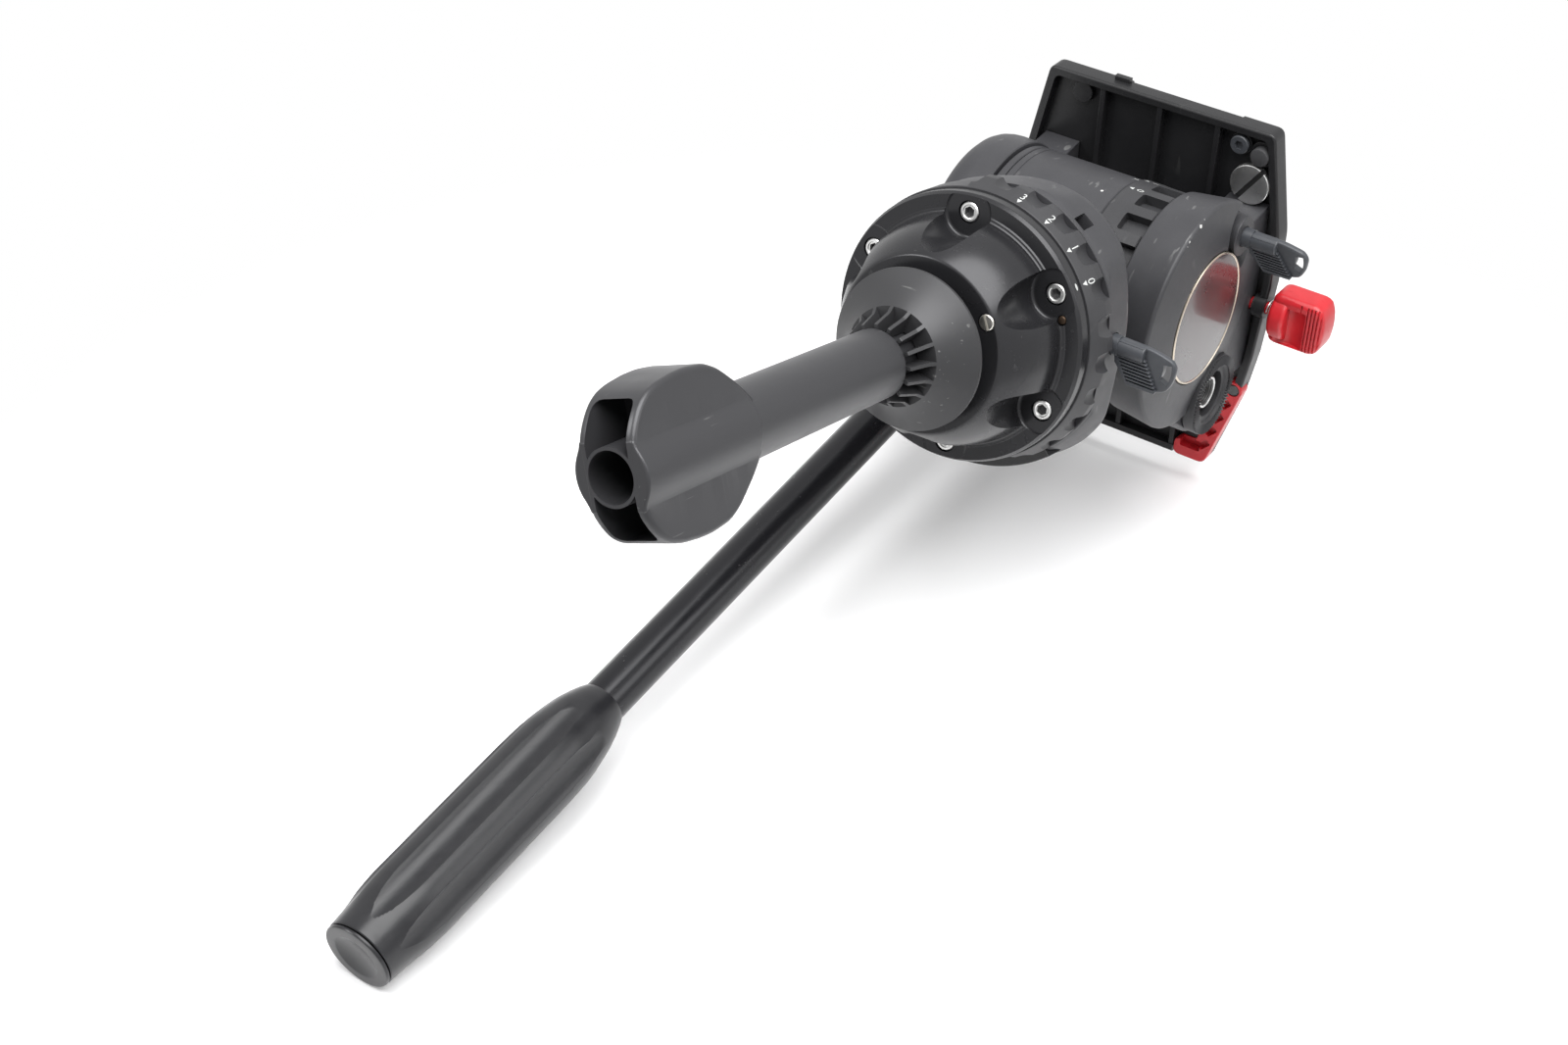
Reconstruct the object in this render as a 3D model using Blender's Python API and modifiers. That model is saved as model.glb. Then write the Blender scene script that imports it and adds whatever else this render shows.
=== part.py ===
"""Fluid video head for a 75 mm bowl, with pan and tilt drag, brakes, platform and pan bar.

Lengths are metres and +Z is up. The origin is the centre of the half ball, in the plane of
the flange's seat. +Y is the lens side and -X is the operator's left, with the levers.
The platform rests as photographed, with its lens end a little down.
"""

from math import acos, atan2, cos, hypot, pi, radians, sin, sqrt

import bmesh
import bpy
from mathutils import Matrix, Vector

# Fits and facets
GAP = 0.0003                  # between pieces that touch or run on each other
OVERRUN = 0.002               # how far a cutter passes the face that it cuts
WELD = 0.00001
COARSE, MEDIUM, FINE = 12, 20, 36   # facets round small, middling and large turned pieces
SMOOTH_DEGREES = 35

# Half ball and flange
BALL_RADIUS = 0.0375
BALL_DEPTH = 0.024
BALL_LIP_BORE = 0.0215
BALL_HOLLOW = 0.025
BALL_LIP_THICKNESS = 0.0035
BALL_WEB = 0.0055
FLANGE_RADIUS = 0.0445
FLANGE_THICKNESS = 0.0055
FLANGE_BEVEL = 0.0008
SCREW_COUNT = 6
SCREW_CIRCLE = 0.0385
SCREW_START_DEGREES = 84.2
SCREW_HEAD_RADIUS = 0.0034
SCREW_HEAD_HEIGHT = 0.0020
SCREW_SHANK_RADIUS = 0.0020
SCREW_LENGTH = 0.0115
SCALLOP_RADIUS = 0.0085
SCALLOP_SINK = 0.0004
INDEX_PIN_RADIUS = 0.0014
INDEX_PIN_LENGTH = 0.0035
INDEX_PIN_DEGREES = 156.9
STOP_SCREW_RADIUS = 0.0026
STOP_SCREW_LENGTH = 0.0030
STOP_SCREW_DEGREES = 145.1
SLOT_WIDTH = 0.0009

# Spindle, bearing and the plate bolted over the flange
SPINDLE_RADIUS = 0.0080
SPINDLE_SHOULDER_RADIUS = 0.0140
SPINDLE_SHOULDER_HEIGHT = 0.0032
SPINDLE_NECK_RADIUS = 0.0060
SPINDLE_TOP = 0.0405
SPINDLE_FOOT = 0.0045
SPINDLE_SOCKET = 0.0100
RING_NUT_RADIUS = 0.0125
RING_NUT_HEIGHT = 0.0040
CARRIER_RADIUS = 0.0405
CARRIER_HEIGHT = 0.0107
NUT_RADIUS = 0.0092
NUT_HEIGHT = 0.0045

# Pan-drag ring
PAN_RING_BOTTOM_RADIUS = 0.0449
PAN_RING_RADIUS = 0.0476
PAN_RING_HEIGHT = 0.0112
PAN_RING_POCKETS = 25
PAN_POCKET_RADIUS = 0.0042
PAN_POCKET_DEPTH = 0.0022
PAN_POCKET_HEIGHT = 0.0078
PAN_FLARE_START_DEGREES = 236
PAN_FLARE_END_DEGREES = 438

# Pan housing
BASE_RADIUS = 0.0510
BASE_BOTTOM_RADIUS = 0.0476
BASE_RISE = 0.0115
BASE_ROUNDING = 0.0040
BASE_HEIGHT = 0.0165
BASE_WALL = 0.0030             # between the level housing and the hollow
BASE_ROOF = 0.0045
BAND_THICKNESS = 0.0036
BAND_HEIGHT = 0.0075
BAND_SPLIT = 0.0060
NECK_HALF_WIDTH = 0.0270
LEVEL_START_DEGREES = 228
LEVEL_END_DEGREES = 268
LEVEL_DEPTH = 0.0078
LEVEL_HEIGHT = 0.0085
LEVEL_VIAL_RADIUS = 0.0042
LEVEL_VIAL_HEIGHT = 0.0030
LEVEL_VIAL_CIRCLE = 0.0412

# Tilt axis, drum and tilt-drag ring
TILT_HEIGHT = 0.0890
REST_TILT_DEGREES = -12.63
DRUM_RADIUS = 0.0372
DRUM_WALL = 0.0052
DRUM_LEFT = -0.0113
DRUM_RIGHT = 0.0272
COVER_THICKNESS = 0.0028
TILT_RING_RADIUS = 0.0378
TILT_RING_LEFT = -0.0287
TILT_RING_BORE = 0.0205
TILT_RING_WINDOWS = 20
WINDOW_DEPTH = 0.0036
WINDOW_LENGTH = 0.0095
WINDOW_SHARE = 0.62
AXLE_RADIUS = 0.0080
AXLE_END = 0.0400
DAMPER_END = 0.0010
SPRING_WIRE = 0.0021
SPRING_COIL_RADIUS = 0.0200
SPRING_TURNS = 5

# Cheeks
CHEEK_INNER = 0.0293
RIGHT_CHEEK_INNER = 0.0309
CHEEK_OUTER = 0.0480
CHEEK_INNER_RADIUS = 0.0390
CHEEK_RADIUS = 0.0410
RIGHT_CHEEK_RADIUS = 0.0384
CHEEK_BEVEL = 0.0028
CAP_FACE_RADIUS = 0.0315
ARM_INNER = 0.0335
ARM_FACE = 0.0440
ARM_TIP_RADIUS = 0.0158
FOOT_FRONT = 0.0190
FOOT_REAR = -0.0430
FOOT_BOTTOM = 0.0200
BADGE_RADIUS = 0.0238
BADGE_THICKNESS = 0.0016
BADGE_SINK = 0.0012
ROSETTE_Y = -0.0385
ROSETTE_Z = 0.0155
ROSETTE_RADIUS = 0.0150
ROSETTE_BORE = 0.0085
ROSETTE_THICKNESS = 0.0040
TOOTH_HEIGHT = 0.0012
TOOTH_COUNT = 30
INSERT_RADIUS = 0.0062
INSERT_BORE = 0.0042
INSERT_LENGTH = 0.0110
INSERT_PROUD = 0.0022
CHEEK_SCREW_INSET = 0.0070
CHEEK_SCREW_SPREAD = 0.0220
CHEEK_SCREW_MIDDLE = -0.0110
CHEEK_SCREW_RADIUS = 0.0034
CHEEK_SCREW_HEIGHT = 0.0022
CHEEK_SCREW_SHANK = 0.0020
CHEEK_SCREW_LENGTH = 0.0140

# Brake levers, measured outwards from the hub's root and across from its axis
LEVER_HUB_RADIUS = 0.0048
LEVER_RIDGE = 0.0140
LEVER_LENGTH = 0.0222
LEVER_WIDTH = 0.0122
LEVER_THICKNESS = 0.0058
LEVER_SLOT_RADIUS = 0.0108
LEVER_SLOT_WIDTH = 0.0022
LEVER_SLOT_START_DEGREES = -14
LEVER_SLOT_END_DEGREES = 36
LEVER_GROOVES = 7
LEVER_GROOVE_WIDTH = 0.0005
LEVER_STEM_RADIUS = 0.0034
PAN_LEVER_INSET = 0.0055      # from the rim of the base
PAN_LEVER_Y = 0.0055
PAN_LEVER_Z = 0.0222
PAN_LEVER_RISE_DEGREES = 10
TILT_LEVER_X = -0.0495
TILT_LEVER_Y = 0.0218
TILT_LEVER_Z = 0.0225
TILT_LEVER_RISE_DEGREES = 17
STEM_REACH = 0.0050
LEVER_POCKET_RADIUS = 0.0072
LEVER_SCOOP_RADIUS = 0.0150
LEVER_SCOOP_REACH = 0.0085
CHEEK_SCOOP_RADIUS = 0.0120
CHEEK_SCOOP_DEPTH = 0.0080

# Camera platform, measured from the tilt axis
PLATFORM_OVERHANG = 0.0035     # beyond each cheek
PLATFORM_FRONT = 0.0495
PLATFORM_REAR = 0.0890
PLATFORM_RIM = 0.0450
PLATFORM_WEB = 0.0490
PLATFORM_FLOOR = 0.0512
RAIL_TOP = 0.0530
PLATFORM_BEVEL = 0.0008
PLATFORM_WALL = 0.0030
RIB_SPACING = 0.0226
RIB_THICKNESS = 0.0020
CHANNEL_RIGHT = 0.0145
CHANNEL_LEFT = -0.0290
JAW_WIDTH = 0.0060
JAW_TRAVEL = 0.0022
JAW_FRONT = 0.0240
JAW_REAR = -0.0520
JAW_FOOT_WIDTH = 0.0110
JAW_FOOT_BOTTOM = 0.0437
JAW_UNDERCUT = 0.0012
BOSS_RADIUS = 0.0040
SPARE_INSET, SPARE_Y = 0.0137, 0.0290
SPARE_HEAD_RADIUS = 0.0069
SPARE_HEAD_HEIGHT = 0.0026
SPARE_SHANK_RADIUS = 0.0030
SPARE_SLOT_WIDTH = 0.0020
SMALL_SPARE_INSET, SMALL_SPARE_Y = 0.0200, 0.0420
SMALL_SPARE_RADIUS = 0.0034
BUTTON_INSET, BUTTON_Y = 0.0117, 0.0400
BUTTON_RADIUS = 0.0034
BUTTON_LENGTH = 0.0050
BUTTON_TRAVEL = 0.0018
NIB_WIDTH = 0.0060
NIB_DEPTH = 0.0016
CLAMP_Y = -0.0165
CLAMP_Z = 0.0464
CLAMP_BOSS_RADIUS = 0.0042
CLAMP_BOSS_LENGTH = 0.0050
CLAMP_SHAFT_RADIUS = 0.0022
KNOB_LEAD = 0.0032             # between the platform and its knob
KNOB_LENGTH = 0.0205
KNOB_WIDTH = 0.0215
KNOB_THICKNESS = 0.0120
KNOB_SCOOP_RADIUS = 0.0090
KNOB_SCOOP_DEPTH = 0.0026
KNOB_GROOVES = 5
KNOB_GROOVE_WIDTH = 0.0008
KNOB_SPRING_RADIUS = 0.0031
KNOB_SPRING_WIRE = 0.0003
KNOB_SPRING_TURNS = 2
CATCH_LEAD = 0.0030
CATCH_PIN_RADIUS = 0.0012
CATCH_PIN_HEAD_RADIUS = 0.0022
CATCH_PIN_HEAD = 0.0008
CATCH_WIDTH = 0.0070
CATCH_REAR_END = -0.0240
CATCH_TOP = 0.0502
CATCH_PROUD = 0.0004
CATCH_POCKETS = 3

# Pan bar, in its clamp's frame: the bar runs down its Z axis
BAR_X = 0.0610
BAR_OFFSET = 0.0234
BAR_REST_DEGREES = 21.95
BAR_RADIUS = 0.0080
BAR_TOP = 0.0160
BAR_WALL = 0.0016
GRIP_START = 0.2160
GRIP_RADIUS = 0.0149
GRIP_CAP_RADIUS = 0.0124
BAR_END = 0.3378
CAP_THICKNESS = 0.0018
CAP_DIMPLE_RADIUS = 0.0068
CAP_DIMPLE_DEPTH = 0.0008
PLUG_LENGTH = 0.0080
FLUTES = 6
FLUTE_CIRCLE = 0.02336
FLUTE_RADIUS = 0.0105
FLUTE_PHASE_DEGREES = 40.5
SLEEVE_RADIUS = 0.0111
SLEEVE_HALF_LENGTH = 0.0155
BRACKET_INNER = 0.0525
BRACKET_OUTER = 0.0620
BOLT_RADIUS = 0.0038
BOLT_REACH = 0.0220
BOLT_HEAD_RADIUS = 0.0095
BOLT_HEAD_LENGTH = 0.0140
BOLT_LOBES = 6
BOLT_LOBE_RADIUS = 0.0034

# Counterbalance dial on the right cheek
DIAL_RADIUS = 0.0165
DIAL_LENGTH = 0.0075
DIAL_STEM_RADIUS = 0.0060
DIAL_NOTCHES = 12

# Tie-down: washer, stud, nut and wing handle
WASHER_TOP = 0.0295
WASHER_EDGE = 0.0013
WASHER_RADIUS = 0.0261
WASHER_NECK_RADIUS = 0.0146
WASHER_NECK = 0.0420
WASHER_WALL = 0.0026
WASHER_WINDOWS = 16
STUD_RADIUS = 0.0050
STUD_END = 0.1400
STUD_COLLAR_RADIUS = 0.0100
STUD_COLLAR_HEIGHT = 0.0050
TUBE_TOP = 0.0500
TUBE_RADIUS = 0.0111
TUBE_FOOT_RADIUS = 0.0116
TUBE_BORE = 0.0075
TUBE_SPIGOT_RADIUS = 0.0088
TUBE_SPIGOT = 0.0120
INNER_NUT_LENGTH = 0.0110
WING_TOP = 0.1240
WING_END = 0.1840
WING_HALF_WIDTH = 0.0233
WING_THICKNESS = 0.0190
WING_EDGE = 0.0014
WING_ANGLE_DEGREES = 68
WING_HUB_RADIUS = 0.0124
WING_HUB_RISE = 0.0040
POCKET_DEPTH = 0.0200
POCKET_INNER = 0.0090
POCKET_OUTER = 0.0185
POCKET_THICKNESS = 0.0125

# Outlines as shares of the sizes named with them
BASE_SHARES = ((0, 0.872), (60, 0.872), (72, 0.868), (83, 0.884), (93, 0.912), (102, 0.942),
               (108, 0.960), (116, 0.982), (126, 0.988), (137, 0.985), (147, 0.945),
               (157, 0.912), (170, 0.892), (188, 0.882), (198, 0.920), (208, 0.985), (218, 1.0),
               (228, 1.0), (241, 0.985), (255, 0.970), (268, 0.970), (276, 0.880),
               (300, 0.872), (360, 0.872))
PLATFORM_SHARES = ((0.860, 1.0, 0), (1.0, 0.245, 0), (1.0, 0, 0.090), (0.955, 0, 0.427),
                   (0.895, 0, 0.646), (0.715, 0, 1.0))
WING_SHARES = ((0.21, 0.025), (0.39, 0.075), (0.575, 0.15), (0.77, 0.25), (0.86, 0.30),
               (0.957, 0.383), (1.0, 0.533), (0.99, 0.633), (0.957, 0.75), (0.90, 0.833),
               (0.79, 0.90), (0.64, 0.95), (0.43, 1.0))
LEVER_SHARES = ((0.0, -0.24), (0.05, 0.42), (0.30, 1.0), (0.74, 0.96), (0.88, 0.86),
                (0.97, 0.55), (1.0, 0.14), (0.93, -0.08), (0.60, -0.22))
GRIP_SHARES = ((0.0, 0.575), (0.019, 0.635), (0.048, 0.72), (0.091, 0.82), (0.174, 0.936),
               (0.215, 0.975), (0.30, 1.0), (0.8135, 1.0), (0.8775, 0.95), (0.935, 0.868),
               (1.0, 0.835))
KNOB_SHARES = ((-0.5, -0.30), (-0.38, -0.5), (0.38, -0.5), (0.5, -0.30), (0.5, 0.30),
               (0.38, 0.5), (-0.38, 0.5), (-0.5, 0.30))

CHARCOAL = (0.030, 0.030, 0.033)
BLACK = (0.010, 0.010, 0.011)
LEVER_GREY = (0.060, 0.064, 0.070)
SATIN_BLACK = (0.016, 0.016, 0.018)
RED = (0.56, 0.030, 0.035)
STEEL = (0.62, 0.62, 0.62)
BRASS = (0.55, 0.40, 0.18)
BRONZE = (0.10, 0.085, 0.085)
LEVEL_GREEN = (0.45, 0.55, 0.12)

SPIN_X = (0, pi / 2, 0)          # turns a piece made along Z to lie along X
SIDE_VIEW = (pi / 2, 0, pi / 2)  # lays an outline drawn in XY into the YZ plane

for leftover in list(bpy.data.objects):
    bpy.data.objects.remove(leftover, do_unlink=True)

model = bpy.data.collections.new("fluid_video_head")
cutters = bpy.data.collections.new("fluid_video_head_cutters")
bpy.context.scene.collection.children.link(model)
bpy.context.scene.collection.children.link(cutters)


def material(name, colour, roughness, metallic=0.0):
    """A plain Principled finish in the part's own colour."""
    made = bpy.data.materials.new(name)
    made.use_nodes = True
    shader = made.node_tree.nodes["Principled BSDF"]
    shader.inputs["Base Color"].default_value = (*colour, 1)
    shader.inputs["Roughness"].default_value = roughness
    shader.inputs["Metallic"].default_value = metallic
    made.diffuse_color = (*colour, 1)
    return made


CAST = material("cast_charcoal", CHARCOAL, 0.55)
RING = material("ring_plastic", CHARCOAL, 0.65)
GLOSS = material("gloss_black", BLACK, 0.30)
SATIN = material("satin_black", SATIN_BLACK, 0.38)
LEVER = material("lever_grey", LEVER_GREY, 0.55)
RED_PLASTIC = material("red_plastic", RED, 0.40)
BRIGHT = material("bright_steel", STEEL, 0.22, 1.0)
BRASSY = material("brass", BRASS, 0.35, 1.0)
BADGE_METAL = material("badge_bronze", BRONZE, 0.20, 0.6)
VIAL = material("level_fluid", LEVEL_GREEN, 0.10)


def place(obj, parent, location, rotation, finish):
    """Link a piece to the model, or to the cutters when it has no finish."""
    obj.parent = parent
    obj.location = location
    obj.rotation_euler = rotation
    if finish is None:
        cutters.objects.link(obj)
        obj.hide_render = True
        obj.display_type = "WIRE"
        return obj
    model.objects.link(obj)
    obj.data.materials.append(finish)
    return obj


def from_bmesh(name, shape, finish, parent, location, rotation):
    """Make an object of a bmesh and free the bmesh."""
    mesh = bpy.data.meshes.new(name)
    shape.to_mesh(mesh)
    shape.free()
    mesh.shade_smooth()
    mesh.set_sharp_from_angle(angle=radians(SMOOTH_DEGREES))
    return place(bpy.data.objects.new(name, mesh), parent, location, rotation, finish)


def box(name, low, high, finish=None, parent=None, location=(0, 0, 0), rotation=(0, 0, 0)):
    """A box between two corners."""
    low, high = Vector(low), Vector(high)
    shape = bmesh.new()
    bmesh.ops.create_cube(shape, size=1)
    bmesh.ops.scale(shape, vec=high - low, verts=shape.verts)
    bmesh.ops.translate(shape, vec=(high + low) / 2, verts=shape.verts)
    return from_bmesh(name, shape, finish, parent, location, rotation)


def rod(name, radius, start, end, finish=None, parent=None, location=(0, 0, 0),
        rotation=(0, 0, 0), sides=COARSE, end_radius=None):
    """A cylinder or cone along Z between two heights."""
    shape = bmesh.new()
    bmesh.ops.create_cone(
        shape, cap_ends=True, segments=sides, radius1=radius,
        radius2=radius if end_radius is None else end_radius, depth=end - start)
    bmesh.ops.translate(shape, vec=(0, 0, (start + end) / 2), verts=shape.verts)
    return from_bmesh(name, shape, finish, parent, location, rotation)


def turned(name, profile, finish=None, parent=None, location=(0, 0, 0), rotation=(0, 0, 0),
           steps=MEDIUM, closed=True):
    """A profile of (radius, height) turned about Z, listed down its outer side."""
    shape = bmesh.new()
    verts = [shape.verts.new((radius, 0, height)) for radius, height in profile]
    pairs = list(zip(verts, verts[1:]))
    if closed:
        pairs.append((verts[-1], verts[0]))
    for pair in pairs:
        shape.edges.new(pair)
    mesh = bpy.data.meshes.new(name)
    shape.to_mesh(mesh)
    shape.free()
    obj = place(bpy.data.objects.new(name, mesh), parent, location, rotation, finish)
    screw = obj.modifiers.new("turn", "SCREW")
    screw.steps = steps
    screw.render_steps = steps
    screw.use_merge_vertices = True
    screw.merge_threshold = WELD
    screw.use_smooth_shade = True
    return obj


def plate(name, outline, bottom, top, finish=None, parent=None, location=(0, 0, 0),
          rotation=(0, 0, 0)):
    """A flat outline in XY with a thickness from bottom to top."""
    curve = bpy.data.curves.new(name, "CURVE")
    curve.dimensions = "2D"
    curve.fill_mode = "BOTH"
    curve.extrude = (top - bottom) / 2
    spline = curve.splines.new("POLY")
    spline.points.add(len(outline) - 1)
    for point, (x, y) in zip(spline.points, outline):
        point.co = (x, y, 0, 1)
    spline.use_cyclic_u = True
    guide = bpy.data.objects.new(name, curve)
    model.objects.link(guide)
    bpy.context.view_layer.update()
    mesh = bpy.data.meshes.new_from_object(
        guide.evaluated_get(bpy.context.evaluated_depsgraph_get()))
    bpy.data.objects.remove(guide, do_unlink=True)
    shape = bmesh.new()
    shape.from_mesh(mesh)
    bmesh.ops.remove_doubles(shape, verts=shape.verts, dist=WELD)
    bmesh.ops.recalc_face_normals(shape, faces=shape.faces)
    bmesh.ops.translate(shape, vec=(0, 0, (top + bottom) / 2), verts=shape.verts)
    bmesh.ops.dissolve_limit(shape, angle_limit=radians(1), verts=shape.verts,
                             edges=shape.edges)
    return from_bmesh(name, shape, finish, parent, location, rotation)


def boolean(obj, tool, operation):
    """Cut a tool out of a piece, or join it on."""
    step = obj.modifiers.new(tool.name, "BOOLEAN")
    step.operation = operation
    step.object = tool
    return obj


def cut(obj, *tools):
    for tool in tools:
        boolean(obj, tool, "DIFFERENCE")
    return obj


def join(obj, *tools):
    for tool in tools:
        boolean(obj, tool, "UNION")
    return obj


def bevel(obj, width, segments=2, degrees=40):
    step = obj.modifiers.new("edges", "BEVEL")
    step.width = width
    step.segments = segments
    step.limit_method = "ANGLE"
    step.angle_limit = radians(degrees)
    return obj


def joint_frame(name, parent=None, location=(0, 0, 0), rotation=(0, 0, 0)):
    """An empty on a joint's axis, which carries the pieces that move about it."""
    frame = bpy.data.objects.new(name, None)
    model.objects.link(frame)
    frame.parent = parent
    frame.location = location
    frame.rotation_euler = rotation
    return frame


def arc(centre, radius, start, end, count):
    """Points on an arc, angles in radians."""
    step = (end - start) / (count - 1)
    return [(centre[0] + radius * cos(start + i * step),
             centre[1] + radius * sin(start + i * step)) for i in range(count)]


def tear_outline(radius, tip, tip_radius, count):
    """A circle at the origin and a smaller one at the tip, joined by their tangents."""
    reach = hypot(*tip)
    towards = atan2(tip[1], tip[0])
    spread = acos((radius - tip_radius) / reach)
    large = arc((0, 0), radius, towards + spread, towards - spread + 2 * pi, 2 * count)
    small = arc(tip, tip_radius, towards - spread, towards + spread, count)
    return large + small


def polar(radius, degrees):
    return radius * cos(radians(degrees)), radius * sin(radians(degrees))


def merged(name, shapes):
    """One cutter made of several separate meshes."""
    whole = bmesh.new()
    for shape in shapes:
        part = bpy.data.meshes.new(name)
        shape.to_mesh(part)
        shape.free()
        whole.from_mesh(part)
        bpy.data.meshes.remove(part)
    return whole


def ring_of_rods(name, count, circle, radius, bottom, top, sides, first=0.0, parent=None,
                 location=(0, 0, 0), rotation=(0, 0, 0)):
    """A cutter of upright rods spaced round a circle."""
    shapes = []
    for i in range(count):
        x, y = polar(circle, first + i * 360 / count)
        shape = bmesh.new()
        bmesh.ops.create_cone(shape, cap_ends=True, segments=sides, radius1=radius,
                              radius2=radius, depth=top - bottom)
        bmesh.ops.translate(shape, vec=(x, y, (top + bottom) / 2), verts=shape.verts)
        shapes.append(shape)
    return from_bmesh(name, merged(name, shapes), None, parent, location, rotation)


def ring_of_boxes(name, count, inner, outer, width, bottom, top, first=0.0, parent=None,
                  location=(0, 0, 0), rotation=(0, 0, 0)):
    """A cutter of radial boxes spaced round a circle."""
    shapes = []
    for i in range(count):
        shape = bmesh.new()
        bmesh.ops.create_cube(shape, size=1)
        bmesh.ops.scale(shape, vec=(outer - inner, width, top - bottom), verts=shape.verts)
        bmesh.ops.translate(shape, vec=((inner + outer) / 2, 0, (top + bottom) / 2),
                            verts=shape.verts)
        turn = Matrix.Rotation(radians(first + i * 360 / count), 3, "Z")
        bmesh.ops.rotate(shape, cent=(0, 0, 0), matrix=turn, verts=shape.verts)
        shapes.append(shape)
    return from_bmesh(name, merged(name, shapes), None, parent, location, rotation)


def toothed_ring(name, finish, parent, location, rotation, phase):
    """A flat ring with radial V teeth on its +Z face, for angle-locking rosettes."""
    shape = bmesh.new()
    count = 2 * TOOTH_COUNT
    loops = []
    for i in range(count):
        angle = 2 * pi * (i + phase) / count
        crest = ROSETTE_THICKNESS + (TOOTH_HEIGHT if i % 2 else 0)
        c, s = cos(angle), sin(angle)
        loops.append([
            shape.verts.new((ROSETTE_RADIUS * c, ROSETTE_RADIUS * s, 0)),
            shape.verts.new((ROSETTE_RADIUS * c, ROSETTE_RADIUS * s, crest)),
            shape.verts.new((ROSETTE_BORE * c, ROSETTE_BORE * s, crest)),
            shape.verts.new((ROSETTE_BORE * c, ROSETTE_BORE * s, 0))])
    for near, far in zip(loops, loops[1:] + loops[:1]):
        for k in range(4):
            following = (k + 1) % 4
            shape.faces.new((near[k], far[k], far[following], near[following]))
    bmesh.ops.recalc_face_normals(shape, faces=shape.faces)
    return from_bmesh(name, shape, finish, parent, location, rotation)


def coil(name, mean_radius, wire, turns, start, end, finish, parent, rotation):
    """A helical spring about Z, as one bevelled curve."""
    per_turn = 10
    count = turns * per_turn + 1
    curve = bpy.data.curves.new(name, "CURVE")
    curve.dimensions = "3D"
    curve.bevel_depth = wire
    curve.bevel_resolution = 1
    curve.use_fill_caps = True
    spline = curve.splines.new("POLY")
    spline.points.add(count - 1)
    rise = (end - start - 2 * wire) / (count - 1)
    for i, point in enumerate(spline.points):
        angle = 2 * pi * i / per_turn
        point.co = (mean_radius * cos(angle), mean_radius * sin(angle),
                    start + wire + i * rise, 1)
    return place(bpy.data.objects.new(name, curve), parent, (0, 0, 0), rotation, finish)


# Heights and places that follow from the sizes above
carrier_bottom = FLANGE_THICKNESS + GAP
carrier_top = carrier_bottom + CARRIER_HEIGHT
base_bottom = carrier_top + 2 * GAP
base_top = base_bottom + BASE_HEIGHT
base_ceiling = base_top - BASE_ROOF
ball_lip_radius = sqrt(BALL_RADIUS ** 2 - BALL_DEPTH ** 2)
base_hollow_radius = BASE_RADIUS - LEVEL_DEPTH - BASE_WALL
cheek_screw_x = CHEEK_OUTER - CHEEK_SCREW_INSET
platform_half_width = CHEEK_OUTER + PLATFORM_OVERHANG
spare_x = SPARE_INSET - platform_half_width
small_spare_x = SMALL_SPARE_INSET - platform_half_width
button_x = BUTTON_INSET - platform_half_width
knob_start = platform_half_width + KNOB_LEAD
pan_lever_x = PAN_LEVER_INSET - BASE_RADIUS


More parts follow.
